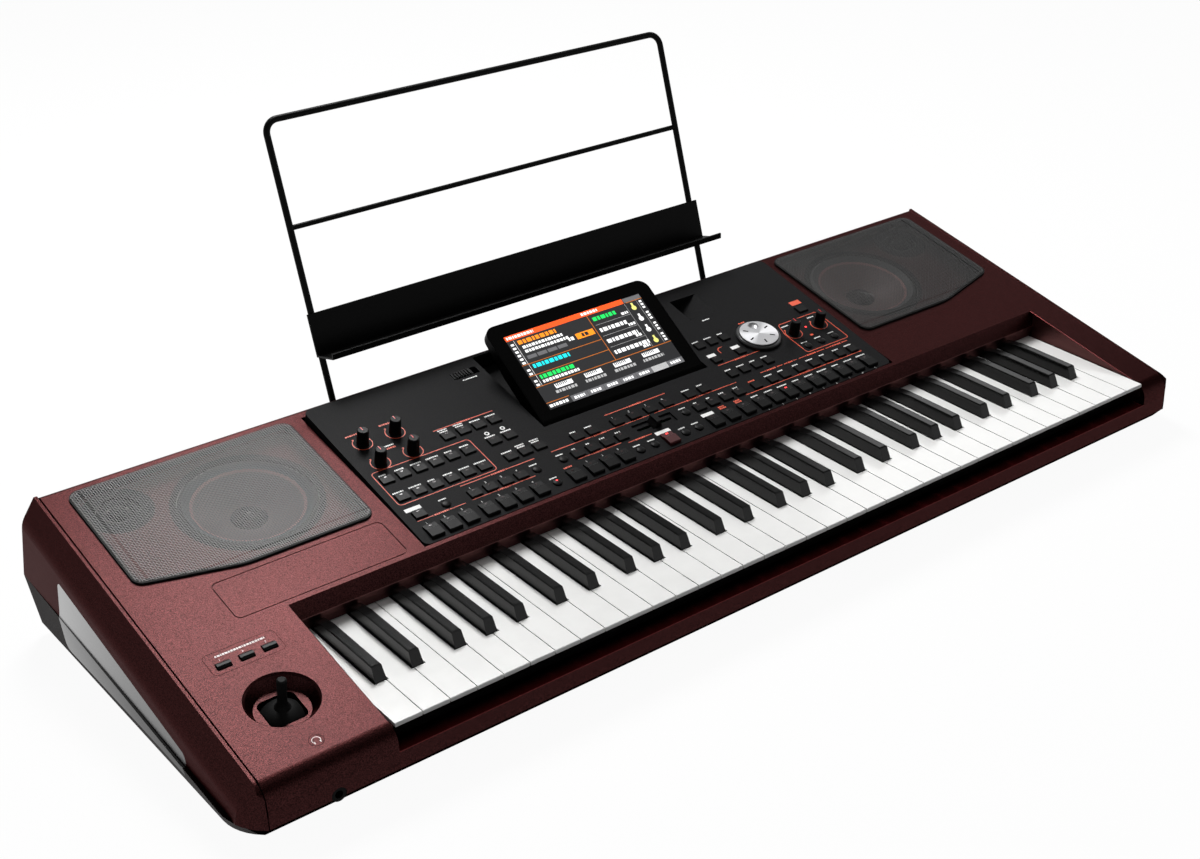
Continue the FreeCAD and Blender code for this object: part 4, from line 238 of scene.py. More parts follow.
def glow(name, colour, strength=1.0, grain=900.0, spread=0.08):
    """A lit surface with a slight unevenness."""
    material = Material(name)
    lit = material.spread(material.noise(grain), colour, spread)
    material.shade({"Emission Color": lit, "Base Color": lit, "Emission Strength": strength,
                    "Roughness": 0.3})
    return material


def from_speaker(material, across, up, place):
    """Distance in metres from a speaker's middle, in either half of the deck."""
    side = material.math("ABSOLUTE", across)
    return material.distance(material.math("SUBTRACT", side, place[0] * MM),
                             material.math("SUBTRACT", up, place[1] * MM))


def painted_reflection_beside_keys(paint):
    """1 on the walls at both ends of the keys and on the fall board's foot, for a painted reflection of the
    keys.
    """
    x, y, z = paint.axes()
    right = paint.between(x, (KEYS_RIGHT - WALL_SKIN) * MM, (KEYS_RIGHT + WALL_SKIN) * MM)
    left = paint.between(x, (KEYS_LEFT - WALL_SKIN) * MM, (KEYS_LEFT + WALL_SKIN) * MM)
    along = paint.between(y, (FRONT_Y + FALL_DEPTH) * MM, (DECK_Y - PANEL_GAP) * MM)
    walls = paint.math("MULTIPLY", paint.math("MAXIMUM", left, right), along)
    low = paint.between(z, KEY_TOP * MM, (KEY_TOP + FALL_CREASE) * MM)
    back = paint.between(y, (DECK_Y - FALL_DEPTH) * MM, DECK_Y * MM)
    across = paint.between(x, KEYS_LEFT * MM, KEYS_RIGHT * MM)
    foot = paint.math("MULTIPLY", across, paint.math("MULTIPLY", low, back))
    return paint.math("MAXIMUM", foot, walls)


FLAKE_DARK = (0.006, 0.0008, 0.0008)
FLAKE_LIGHT = (0.038, 0.0105, 0.0105)
FLAKES_PER_METRE = 1250.0
CLOUDS_PER_METRE = 14.0
BLACK_PAINT = (0.003, 0.0028, 0.0028, 1)
# Lighter red on the walls beside the keys and on the fall board's foot: a painted reflection of the keys.
KEY_SIDE_PAINTED_REFLECTION = (0.10, 0.042, 0.04, 1)


def red_paint():
    """Dark red metallic paint with pale flakes; black frames round the speakers under the grilles."""
    paint = Material("red_metallic_paint")
    flakes = paint.noise(FLAKES_PER_METRE, detail=2.0)
    across, up, above = paint.axes(deck(0, 0), DECK_ANGLE)
    woofer = paint.math("LESS_THAN", from_speaker(paint, across, up, WOOFER_PLACE), WOOFER_FRAME * MM)
    tweeter = paint.math("LESS_THAN", from_speaker(paint, across, up, TWEETER_PLACE), TWEETER_FRAME * MM)
    in_well = paint.between(above, WELL_LOW * MM, WELL_TOP * MM)
    black = paint.math("MULTIPLY", paint.math("MAXIMUM", woofer, tweeter), in_well)
    flaked = paint.two_tone(flakes, FLAKE_DARK, FLAKE_LIGHT)
    # The walls beside the keys get the painted reflection of the keys.
    with_painted_reflection = paint.mixed(painted_reflection_beside_keys(paint), flaked, KEY_SIDE_PAINTED_REFLECTION)
    paint.bump(flakes, depth=0.00012)
    paint.shade({"Base Color": paint.mixed(black, with_painted_reflection, BLACK_PAINT),
                 "Roughness": paint.ranged(paint.noise(CLOUDS_PER_METRE), low=0.33, high=0.39),
                 "Metallic": paint.ranged(black, 1.0, 0.0), "Specular Tint": (0.6, 0.5, 0.5, 1),
                 "Specular IOR Level": 0.02, "Coat Weight": 0.05, "Coat Roughness": 0.28})
    return paint


CONE_PAPER = (0.055, 0.022, 0.02)
# Paler ring near the cone's edge: a painted highlight.
CONE_RIM_PAINTED_HIGHLIGHT = (0.16, 0.06, 0.055, 1)
SURROUND_RUBBER = (0.012, 0.012, 0.012, 1)
DUST_CAP_GLOSS = (0.018, 0.012, 0.012, 1)


def cone_material():
    """Speaker cone: gloss dust cap, dark red paper with a paler rim as a painted highlight, black rubber
    surround.
    """
    cone = Material("speaker_cone_paper")
    across, up = cone.axes(deck(0, 0), DECK_ANGLE)[:2]
    radius = from_speaker(cone, across, up, WOOFER_PLACE)
    grain = cone.noise(scale=700.0)
    paper = cone.spread(grain, CONE_PAPER, share=0.25)
    rim_highlight = cone.between(radius, CONE_RIM[0] * MM, CONE_RIM[1] * MM)
    with_rim_highlight = cone.mixed(rim_highlight, paper, CONE_RIM_PAINTED_HIGHLIGHT)
    outside = cone.math("GREATER_THAN", radius, CONE_RIM[1] * MM)
    with_surround = cone.mixed(outside, with_rim_highlight, SURROUND_RUBBER)
    cap = cone.math("LESS_THAN", radius, DUST_CAP * MM)
    cone.bump(grain, depth=0.0001)
    cone.shade({"Base Color": cone.mixed(cap, with_surround, DUST_CAP_GLOSS),
                "Roughness": cone.ranged(cap, low=0.65, high=0.06)})
    return cone


CASE_BROWN = (0.0085, 0.0045, 0.0043)
CASE_SHEEN = 0.02
CASE_MATT_REACH = 14.0


def case_plastic():
    """Black-brown plastic of the bottom case: a slight sheen, and none under the front edge."""
    case = surface("case_black_brown", CASE_BROWN, spread=0.2, roughness=0.5, grain=900.0, depth=0.00006)
    behind = case.math("GREATER_THAN", case.axes()[1], (FRONT_Y + CASE_MATT_REACH) * MM)
    case.shade({"Specular IOR Level": case.ranged(behind, 0.0, CASE_SHEEN)})
    return case


# Painted light and shade on the silver: the lit colour towards the back and above the parting line, the
# shaded one towards the front and below it.
SILVER_PAINTED_LIGHT = (0.65, 0.65, 0.65)
SILVER_PAINTED_SHADE = (0.12, 0.119, 0.119)
SILVER_FRONT = 30.0
SILVER_LENGTH = 260.0
PAINTED_LIGHT_ALONG = 0.65
PAINTED_LIGHT_ABOVE_PARTING = 0.3


def silver_panel():
    """Satin silver of the side panels with painted light: paler towards the back and above the parting line.
    """
    silver = Material("side_panel_silver_painted_light")
    grain = silver.noise(scale=500.0)
    y, z = silver.axes()[1:]
    behind = silver.math("SUBTRACT", y, FRONT_Y * MM)
    parting = silver.math("ADD", silver.math("MULTIPLY", behind, PARTING_RISE), PARTING_FRONT * MM)
    upper = silver.math("GREATER_THAN", z, parting)
    along = silver.share(behind, SILVER_FRONT * MM, SILVER_LENGTH * MM)
    curve = silver.math("MULTIPLY", along, along)
    # How much painted light falls on each point of the panel.
    share = silver.math("ADD", silver.math("MULTIPLY", curve, PAINTED_LIGHT_ALONG),
                        silver.math("MULTIPLY", upper, PAINTED_LIGHT_ABOVE_PARTING))
    speckled_painted_light = silver.math("ADD", share, silver.ranged(grain, low=-0.03, high=0.03))
    silver.bump(grain, depth=0.00003)
    silver.shade({"Base Color": silver.two_tone(speckled_painted_light, SILVER_PAINTED_SHADE, SILVER_PAINTED_LIGHT, 0.0, 1.0),
                  "Roughness": silver.ranged(grain, low=0.36, high=0.48), "Metallic": 1.0,
                  "Specular Tint": (0.5, 0.5, 0.5, 1)})
    return silver


RAIL_LEDGE = 15.0
# The ledge runs from painted light at the rail's edge to painted shade under the keys.
LEDGE_PAINTED_LIGHT = (0.10, 0.010, 0.011)
LEDGE_PAINTED_SHADE = (0.002, 0.0008, 0.0008)


def ledge_paint():
    """Dark red of the rail's ledge with painted light at its edge, fading to painted shade under the keys."""
    ledge = Material("rail_ledge_painted_shade")
    share = ledge.share(ledge.axes()[1], FRONT_Y * MM, RAIL_LEDGE * MM)
    ledge.bump(ledge.noise(FLAKES_PER_METRE), depth=0.00005)
    ledge.shade({"Base Color": ledge.two_tone(share, LEDGE_PAINTED_LIGHT, LEDGE_PAINTED_SHADE, low=0.0, high=0.9),
                 "Roughness": 0.5, "Specular IOR Level": 0.0})
    return ledge


DIAL_METAL = (0.42, 0.42, 0.43)
DIAL_SIDE = (0.010, 0.010, 0.011, 1)
DIAL_RINGS_PER_METRE = 6000.0
# Lobes of light round the dial's face: a painted sheen.
DIAL_SHEEN_LOBES = 2.0


def dial_material():
    """Spun metal face on a black drum, with fine rings and a painted bow-tie sheen in its colour."""
    dial = Material("dial_spun_metal")
    x, y = dial.axes(panel(*DIAL_CENTRE), PANEL_ANGLE)[:2]
    radius = dial.distance(x, y)
    angle = dial.math("ARCTAN2", y, x)
    sheen_wave = dial.math("COSINE", dial.math("MULTIPLY", angle, DIAL_SHEEN_LOBES))
    noise = dial.add("TexNoise", {"Scale": DIAL_RINGS_PER_METRE})
    noise.noise_dimensions = "1D"
    dial.feed(noise.inputs["W"], radius)
    rings = noise.outputs["Fac"]
    painted_sheen = dial.ranged(sheen_wave, low=0.5, high=1.0)
    rings_and_painted_sheen = dial.math("MULTIPLY", painted_sheen, dial.ranged(rings, low=0.8, high=1.1))
    metal = dial.spread(rings_and_painted_sheen, DIAL_METAL, share=0.75, low=0.1, high=0.9)
    face = dial.math("LESS_THAN", radius, DIAL_FACE * MM)
    dial.bump(rings, depth=0.00003)
    dial.shade({"Base Color": dial.mixed(face, DIAL_SIDE, metal), "Metallic": face, "Roughness": 0.34})
    return dial


# Plain surfaces: name, colour, its spread, roughness, grain per metre, relief in metres, shine
SURFACES = {
    # A lighter red than the paint, for the edge beads: a painted highlight on top of the real light they
    # catch.
    "edge": ("red_paint_edge", (0.12, 0.025, 0.025), 0.2, 0.3, 900.0, 0.00003, {"metallic": 1.0}),
    "charcoal": ("panel_charcoal", (0.0088, 0.0088, 0.0092), 0.22, 0.46, 1100.0, 0.00005,
                 {"specular": 0.03}),
    "rubber": ("black_rubber", (0.004, 0.004, 0.004), 0.3, 0.6, 1000.0, 0.0001, {"specular": 0.12}),
    "wire": ("grille_wire", (0.057, 0.0565, 0.056), 0.15, 0.42, 800.0, 0.00003, {"metallic": 1.0}),
    "steel_black": ("speaker_black_steel", (0.003, 0.003, 0.003), 0.2, 0.42, 500.0, 0.00004,
                    {"specular": 0.03}),
    "white_key": ("key_white_plastic", (0.83, 0.828, 0.815), 0.015, 0.22, 60.0, 0.00002, {"coat": 0.4}),
    "black_key": ("key_black_plastic", (0.0018, 0.0018, 0.0018), 0.2, 0.18, 300.0, 0.00001,
                  {"specular": 0.24}),
    "chassis": ("chassis_black_paint", (0.006, 0.006, 0.006), 0.3, 0.5, 400.0, 0.00004, {"specular": 0.1}),
    "felt": ("red_felt", (0.25, 0.03, 0.03), 0.4, 0.95, 1500.0, 0.0004, {}),
    "button": ("button_black", (0.0034, 0.0034, 0.0035), 0.2, 0.36, 900.0, 0.00004, {"specular": 0.07}),
    "button_red": ("button_dark_red", (0.05, 0.006, 0.007), 0.2, 0.36, 900.0, 0.00004, {"specular": 0.2}),
    "bezel": ("display_black", (0.0009, 0.0009, 0.0009), 0.15, 0.32, 500.0, 0.00002, {"specular": 0.02}),
    "glass": ("display_glass", (0.0010, 0.0010, 0.0010), 0.1, 0.2, 200.0, 0.00001, {"specular": 0.03}),
    "stand": ("stand_powder_coat", (0.0018, 0.0018, 0.0018), 0.25, 0.42, 1100.0, 0.00006,
              {"specular": 0.06}),
    "socket": ("socket_plastic", (0.003, 0.003, 0.003), 0.2, 0.42, 600.0, 0.00004, {"specular": 0.04}),
    "board": ("circuit_board", (0.02, 0.11, 0.045), 0.35, 0.4, 160.0, 0.00004, {}),
    "supply": ("supply_aluminium", (0.55, 0.55, 0.56), 0.1, 0.36, 90.0, 0.00004,
               {"metallic": 0.9, "stretch": (1.0, 14.0, 1.0)}),
    "screw": ("blackened_steel", (0.05, 0.05, 0.05), 0.2, 0.36, 500.0, 0.00003, {"metallic": 0.8}),
    "white_print": ("white_print", (0.78, 0.78, 0.77), 0.08, 0.5, 1500.0, 0.00001, {}),
    "orange_print": ("orange_print", (0.70, 0.075, 0.02), 0.1, 0.5, 1500.0, 0.00001, {}),
    "led_dark": ("led_window_dark", (0.022, 0.006, 0.006), 0.2, 0.2, 800.0, 0.00002, {}),
    "pointer": ("pointer_red", (0.75, 0.02, 0.02), 0.1, 0.4, 900.0, 0.00001, {}),
    "groove": ("groove_black", (0.003, 0.002, 0.002), 0.2, 0.6, 800.0, 0.00002, {"specular": 0.0}),
}

# Lit surfaces of the screen: name and colour
SCREEN_COLOURS = {
    "dark": ("screen_background", (0.009, 0.009, 0.010)),
    "orange": ("screen_orange", (0.80, 0.075, 0.006)),
    "amber": ("screen_amber", (0.85, 0.24, 0.006)),
    "line": ("screen_divider", (0.38, 0.10, 0.006)),
    "green": ("screen_green", (0.006, 0.62, 0.10)),
    "cyan": ("screen_cyan", (0.006, 0.62, 0.66)),
    "white": ("screen_white", (0.72, 0.72, 0.72)),
    "grey": ("screen_grey", (0.10, 0.10, 0.105)),
    "pale": ("screen_pale_tab", (0.34, 0.34, 0.34)),
    "yellow": ("screen_yellow", (0.60, 0.58, 0.16)),
}
LED_RED = (1.0, 0.03, 0.03)


def make_materials():
    """Every material by its short name."""
    made = {"red": red_paint(), "case": case_plastic(), "ledge": ledge_paint(), "silver": silver_panel(),
            "cone": cone_material(), "dial": dial_material(),
            "led": glow("led_red_lit", LED_RED, strength=2.2)}
    for key, (*look, shine) in SURFACES.items():
        made[key] = surface(*look, **shine)
    for key, (name, colour) in SCREEN_COLOURS.items():
        made["screen_" + key] = glow(name, colour)
    return {key: material.data for key, material in made.items()}


MATERIALS = make_materials()

NODE_MATERIALS = {
    "bottom_case": "case", "upper_case_left": "red", "upper_case_right": "red", "centre_frame": "red",
    "front_rail": "red", "end_caps": "red", "side_inserts": "silver", "control_panel": "charcoal",
    "speaker_grilles": "wire", "grille_rims": "rubber", "woofer_baskets": "steel_black",
    "woofer_cones": "cone", "tweeters": "steel_black", "key_chassis": "chassis", "key_felts": "felt",
    "start_stop_button": "button_red", "value_dial": "dial", "display_housing": "bezel",
    "display_glass": "glass", "music_stand_frame": "stand", "music_stand_shelf": "stand",
    "jack_sockets": "socket", "circuit_boards": "board", "power_supply": "supply", "feet": "rubber",
    "screws": "screw", "joystick_base": "socket", "joystick_gimbal": "socket", "joystick_stick": "rubber",
}


def paint_nodes():
    """Give every CAD node its material."""
    for name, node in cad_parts.items():
        key = NODE_MATERIALS.get(name)
        if key is None:
            key = "button"
            if name.endswith("_keys"):
                key = "black_key" if "sharp" in name else "white_key"
        node.data.materials.clear()
        node.data.materials.append(MATERIALS[key])


# Flat print and lenses

class Sheet:
    """Flat polygons in one material, riding on one body."""

    def __init__(self, name, material, body, slot):
        self.name = name
        self.material = material
        self.body = body
        self.slot = slot
        self.points = []
        self.faces = []

    def polygon(self, points):
        self.mesh(points, [range(len(points))])

    def mesh(self, points, faces):
        first = len(self.points)
        self.points += points
        self.faces += [[first + index for index in face] for face in faces]

    def make(self):
        mesh = bpy.data.meshes.new(self.name)
        mesh.from_pydata(self.points, [], self.faces)
        mesh.update()
        piece = bpy.data.objects.new(self.name, mesh)
        bpy.context.scene.collection.objects.link(piece)
        mesh.materials.append(MATERIALS[self.material])
        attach(piece, self.body)
        return piece


def rectangle(sheet, place, u_low, w_low, u_high, w_high, h):
    """One rectangle on a slope."""
    corners = ((u_low, w_low), (u_high, w_low), (u_high, w_high), (u_low, w_high))
    sheet.polygon([place(u, w, h) for u, w in corners])


def centred(sheet, place, u, w, width, length, h=PRINT_LIFT):
    """One rectangle about its middle."""
    rectangle(sheet, place, u - width / 2, w - length / 2, u + width / 2, w + length / 2, h)


MITRE_LIMIT = 0.3


def stroke(sheet, place, points, width, h=PRINT_LIFT, closed=False):
    """A line of even width through points."""
    count = len(points)
    sides = []
    for index in range(count):
        before = points[index - 1] if index or closed else None
        after = points[(index + 1) % count] if index + 1 < count or closed else None
        here = Vector(points[index])
        normals = []
        for start, end in ((before, here), (here, after)):
            if start is not None and end is not None:
                along = (Vector(end) - Vector(start)).normalized()
                normals.append(Vector((-along.y, along.x)))
        mean = sum(normals, Vector((0, 0))).normalized()
        reach = width / 2 / max(mean.dot(normals[0]), MITRE_LIMIT)
        sides.append((here + mean * reach, here - mean * reach))
    for index in range(count if closed else count - 1):
        a = sides[index]
        b = sides[(index + 1) % count]
        sheet.polygon([place(*a[1], h), place(*b[1], h), place(*b[0], h), place(*a[0], h)])


def polar(centre, radius, angle):
    """The point at a radius and an angle in degrees from the u axis."""
    turn = math.radians(angle)
    return centre[0] + radius * math.cos(turn), centre[1] + radius * math.sin(turn)


def arc_points(centre, radius, start, end, steps=18):
    """Points along an arc, angles in degrees from the u axis."""
    return [polar(centre, radius, start + (end - start) * step / steps) for step in range(steps + 1)]


def disc(sheet, place, centre, radius, h, steps=12):
    """A flat round patch; its outline stops short of its start and closes with a straight edge."""
    sheet.polygon([place(u, w, h) for u, w in arc_points(centre, radius, 0, 345, steps)])


def round_corners(points, radius, steps=5):
    """A closed outline with its corners rounded."""
    result = []
    count = len(points)
    for index in range(count):
        corner = Vector(points[index])
        to_before = (Vector(points[index - 1]) - corner).normalized()
        to_after = (Vector(points[(index + 1) % count]) - corner).normalized()
        half = to_before.angle(to_after) / 2
        reach = radius / math.tan(half)
        centre = corner + (to_before + to_after).normalized() * (radius / math.sin(half))
        start = corner + to_before * reach - centre
        end = corner + to_after * reach - centre
        for step in range(steps + 1):
            share = step / steps
            way = (start * (1 - share) + end * share).normalized() * radius
            result.append(tuple(centre + way))
    return result


# Widths of the blocks that stand for print, their gap and the shortest last one, as shares of their height
DASHES = (1.0, 0.62, 1.15, 0.5, 0.85, 1.1, 0.7, 0.95)
DASH_GAP = 0.28
DASH_SHORTEST = 0.2


def dashes(sheet, place, u, w, width, height, first=0, h=PRINT_LIFT):
    """A row of small plain blocks where a printed label is, centred on u."""
    at = u - width / 2
    index = first
    while at < u + width / 2 - DASH_SHORTEST * height:
        block = min(DASHES[index % len(DASHES)] * height, u + width / 2 - at)
        rectangle(sheet, place, at, w - height / 2, at + block, w + height / 2, h)
        at += block + DASH_GAP * height
        index += 1


def digit_mesh(character):
    """The outline of one digit, one unit high and centred."""
    curve = bpy.data.curves.new("digit", "FONT")
    curve.body = character
    curve.align_x = "CENTER"
    curve.align_y = "CENTER"
    holder = bpy.data.objects.new("digit", curve)
    bpy.context.scene.collection.objects.link(holder)
    bpy.context.view_layer.update()
    mesh = bpy.data.meshes.new_from_object(holder.evaluated_get(bpy.context.evaluated_depsgraph_get()))
    points = [vertex.co.copy() for vertex in mesh.vertices]
    faces = [list(polygon.vertices) for polygon in mesh.polygons]
    bpy.data.objects.remove(holder)
    bpy.data.curves.remove(curve)
    bpy.data.meshes.remove(mesh)
    return points, faces


DIGITS = [digit_mesh(character) for character in "123456789"]


def digits(sheet, place, places, rise, size):
    """Print 1, 2, 3 and so on over the places of a row."""
    for (points, faces), (u, w) in zip(DIGITS, places):
        sheet.mesh([place(u + p.x * size, w + rise + p.y * size, PRINT_LIFT) for p in points], faces)


def triangle(sheet, u, w, size, way):
    """A small arrow head on the panel, pointing along u."""
    back = u - way * size / 2
    corners = ((back, w - size / 2), (u + way * size / 2, w), (back, w + size / 2))
    sheet.polygon([panel(*corner, PRINT_LIFT) for corner in corners])


# Controls on the panel, as in the CAD model: across from its middle, rows up the slope from its front edge

ROW_A = 12.0
ROW_B = 35.0
ROW_C = 60.0
ROW_D = 85.0
ROW_E = 110.0
ROW_CENTRE = 54.4
SMALL_TOP = 1.8
BIG_LOW_TOP = 1.95
KNOB_TOP = 15.0


def row(first, pitch, count, w):
    """Evenly spaced places along one row."""
    return [(first + pitch * index, w) for index in range(count)]


STYLE = row(-248.4, 16.05, 6, ROW_D) + row(-248.4, 16.05, 6, ROW_C)
MODE = row(-172.7, 15.9, 4, ROW_E) + row(-141.2, 16.2, 2, ROW_D) + row(-140.6, 14.9, 3, ROW_C)
PADS = row(-194.0, 15.65, 4, ROW_B)
CHORD = (-247.7, ROW_B)
RECORD = row(-74.5, 16.6, 2, ROW_CENTRE)
PLAYER_ONE = row(-87.8, 16.0, 4, ROW_B)
PLAYER_TWO = row(49.2, 16.0, 4, ROW_B)
KEYBOARD_SET = row(-30.8, 18.9, 4, ROW_CENTRE)
SEARCH = row(53.2, 16.7, 2, ROW_CENTRE)
PAGES = row(109.2, 15.2, 3, ROW_E)
EXIT_MENU = row(110.1, 29.6, 2, ROW_D)
TEMPO = row(109.7, 14.9, 4, ROW_C)
TUNE = [(u, ROW_B) for u in (118.5, 138.6, 153.9, 173.3, 191.6, 207.5, 225.6, 241.9)]
INTRO = row(-248.3, 17.0, 3, ROW_A)
VARIATION = row(-194.6, 17.0, 4, ROW_A)
BREAK = [(-105.8, ROW_A)]
ENDING = row(-86.8, 16.9, 3, ROW_A)
START_STOP = (-2.5, ROW_A)
TAP = row(49.6, 18.7, 3, ROW_A)
LIBRARY = row(105.8, 17.04, 9, ROW_A)
ROUND = ([(u, ROW_A) for u in (-125.3, -35.5, -19.4, 15.5, 30.7)]
         + [(u, ROW_B) for u in (-221.9, -130.6, -102.8, 33.8)])
MIC = row(206.3, 17.5, 3, ROW_C)
KNOBS = {"volume_knob": (-241.0, 137.0), "balance_knob": (-209.2, 137.0), "assign_knob_one": (-241.0, 107.5),
         "assign_knob_two": (-209.2, 107.5), "mic_gain_knob": (207.4, 83.5), "mic_effect_knob": (240.8, 83.5)}

# Orange frames: corners and their radius
LINE_WIDTH = 0.7
FRAMES = (([(-256.0, 52.0), (-159.5, 52.0), (-159.5, 98.6), (-256.0, 98.6)], 3.5),
          ([(198.7, 52.5), (253.3, 52.5), (252.6, 101.2), (202.0, 101.2), (198.0, 86.5)], 3.0))
# Orange rules: from, to, up the panel, room for the label
RULES = ((-180.0, -119.0, 122.0, 16.0), (-199.5, -124.4, 48.5, 16.0), (-199.8, -136.6, 28.8, 16.0),
         (-253.8, -207.0, 28.3, 16.0), (-91.7, -44.5, 28.9, 16.0), (-38.8, -12.9, 25.9, 16.0),
         (-35.0, 34.0, 67.7, 16.0), (105.8, 161.0, 77.2, 16.0), (100.8, 248.8, 28.8, 16.0),
         (-106.3, -1.0, 48.6, 16.0), (-1.0, 104.8, 48.6, 16.0), (134.9, 163.0, 48.8, 14.0),
         (165.0, 181.0, 48.8, 14.0), (184.0, 217.0, 48.8, 14.0), (219.0, 247.7, 48.8, 14.0))
RULE_GAP = 1.2
RULE_PRINT = 1.7
ARROW_GAP = 1.0
ARROW_SIZE = 1.8
# Labels: across, up, width, height, first block; patches: across, up, width, length
ORANGE_LABELS = ((-243.0, 150.5, 14.0, 1.8, 0), (-211.0, 150.5, 12.0, 1.8, 2), (-225.0, 120.5, 13.0, 1.8, 3),
                 (-105.8, 24.5, 8.5, 1.7, 1), (118.5, 43.0, 7.5, 1.7, 4), (171.0, 121.5, 7.5, 1.7, 2),
                 (68.3, 26.4, 7.5, 1.7, 1), (68.3, 24.0, 7.5, 1.7, 5), (87.0, 26.4, 7.5, 1.7, 1),
                 (87.0, 24.0, 7.5, 1.7, 5))
ORANGE_PATCHES = ((243.3, 123.2, 12.5, 6.5), (222.0, 73.0, 3.5, 2.2))
EXIT_LINE = [(128.5, 99.5), (124.0, 99.5), (121.5, 97.0), (121.5, 92.0)]
# Ring scale of a knob, its ends in degrees, and the patches there
SCALE_RADIUS = 8.6
SCALE_ENDS = (-235, 55)
SCALE_PATCH_RADIUS = 9.2
SCALE_PATCH = 1.5


def label_line(sheet, u_low, u_high, w, room):
    """A rule with a label in its middle, between two arrow heads."""
    middle = (u_low + u_high) / 2
    half = min(room, (u_high - u_low) * 0.5) / 2
    stroke(sheet, panel, [(u_low, w), (middle - half - RULE_GAP, w)], LINE_WIDTH)
    stroke(sheet, panel, [(middle + half + RULE_GAP, w), (u_high, w)], LINE_WIDTH)
    for way in (-1, 1):
        triangle(sheet, middle + way * (half + ARROW_GAP), w, ARROW_SIZE, way)
    dashes(sheet, panel, middle, w, 2 * (half - ARROW_GAP), RULE_PRINT)


def panel_orange():
    """Orange rules, frames, ring scales and labels."""
    sheet = Sheet("panel_orange_print", "orange_print", "case", "charcoal_panel")
    for corners, radius in FRAMES:
        stroke(sheet, panel, round_corners(corners, radius), LINE_WIDTH, closed=True)
    for rule in RULES:
        label_line(sheet, *rule)
    for place in KNOBS.values():
        stroke(sheet, panel, arc_points(place, SCALE_RADIUS, *SCALE_ENDS), LINE_WIDTH)
        for angle in SCALE_ENDS:
            centred(sheet, panel, *polar(place, SCALE_PATCH_RADIUS, angle), SCALE_PATCH, SCALE_PATCH)
    for label in ORANGE_LABELS:
        dashes(sheet, panel, *label)
    for patch in ORANGE_PATCHES:
        centred(sheet, panel, *patch)
    stroke(sheet, panel, EXIT_LINE, LINE_WIDTH)
    sheet.make()


# White labels of button groups: places, rise, width, steps of the width and their number, height
LABEL_RISE = 7.4
BIG_RISE = 11.0
GROUP_LABELS = ((STYLE, LABEL_RISE, 7.0, 1.6, 4, 1.6), (LIBRARY, 11.4, 8.0, 1.8, 3, 1.5),
                (RECORD + SEARCH + PAGES + TEMPO + TUNE[1:], LABEL_RISE, 6.0, 1.5, 3, 1.5),
                (ROUND + MIC, 6.8, 7.5, 0.0, 1, 1.4))
# White digits: places, rise, size
GROUP_DIGITS = ((PADS, LABEL_RISE, 3.2), (VARIATION, BIG_RISE, 3.2), (INTRO, BIG_RISE, 3.2),
                (ENDING, BIG_RISE, 3.2), (KEYBOARD_SET, LABEL_RISE, 3.2), (LIBRARY, -BIG_RISE, 3.0))
# Mode labels, some of them in two lines: width, height
MODE_LINE = (10.5, 1.6)
TWO_LINE_MODES = (0, 1, 7, 8)
UPPER_LINE = (9.0, 1.5)
LOWER_LINE = (7.65, 1.5)
UPPER_LINE_RISE = 2.6
MODE_RINGS = row(-141.2, 16.2, 2, ROW_D + 12.0)
MODE_RING_RADIUS = 1.8
MODE_RING_LINE = 1.1
# Signs over the player buttons
PLAY_ARROW = 2.0
PLAY_SHIFT = 1.0
PLAY_BAR_SHIFT = 2.9
PLAY_BAR = 0.7
# Patches and labels, with the columns of the orange ones
WHITE_PATCHES = ((CHORD[0] - 1.0, ROW_B + 8.6, 15.0, 4.4), (-2.5, 23.2, 16.0, 4.4),
                 (49.6, 23.4, 13.5, 4.4), (110.1, ROW_D + 8.0, 9.5, 4.4), (139.7, ROW_D + 8.0, 9.5, 4.4))
WHITE_LABELS = ((-225.0, 124.0, 13.0, 1.5, 2), (143.0, 142.5, 9.0, 1.6, 2), (-110.5, 171.5, 15.0, 1.5, 2),
                (206.5, 96.5, 9.0, 1.5, 3), (240.5, 96.5, 8.0, 1.5, 6))


def mode_labels(sheet):
    """Labels of one line or of two short ones, and rings over two of the buttons."""
    for index, (u, w) in enumerate(MODE):
        if index in TWO_LINE_MODES:
            dashes(sheet, panel, u, w + LABEL_RISE + UPPER_LINE_RISE, *UPPER_LINE, index)
            dashes(sheet, panel, u, w + LABEL_RISE, *LOWER_LINE, index + 3)
        else:
            dashes(sheet, panel, u, w + LABEL_RISE, *MODE_LINE, index)
    for place in MODE_RINGS:
        stroke(sheet, panel, arc_points(place, MODE_RING_RADIUS, 0, 360, 14), MODE_RING_LINE)


def player_signs(sheet, places):
    """Double arrows over the four buttons of a player, the last two with a bar."""
    for index, (u, w) in enumerate(places):
        way = -1 if index in (0, 2) else 1
        for shift in (-PLAY_SHIFT, PLAY_SHIFT):
            triangle(sheet, u + shift, w + LABEL_RISE, PLAY_ARROW, way)
        if index >= 2:
            centred(sheet, panel, u + PLAY_BAR_SHIFT * way, w + LABEL_RISE, PLAY_BAR, PLAY_ARROW)


def panel_white():
    """White labels, digits, arrows and patches."""
    sheet = Sheet("panel_white_print", "white_print", "case", "charcoal_panel")
    for places, rise, width, step, steps, height in GROUP_LABELS:
        for index, (u, w) in enumerate(places):
            dashes(sheet, panel, u, w + rise, width + step * (index % steps), height, index)
    for places, rise, size in GROUP_DIGITS:
        digits(sheet, panel, places, rise, size)
    mode_labels(sheet)
    player_signs(sheet, PLAYER_ONE)
    player_signs(sheet, PLAYER_TWO)
    for patch in WHITE_PATCHES:
        centred(sheet, panel, *patch)
    for label in WHITE_LABELS:
        dashes(sheet, panel, *label)
    sheet.make()


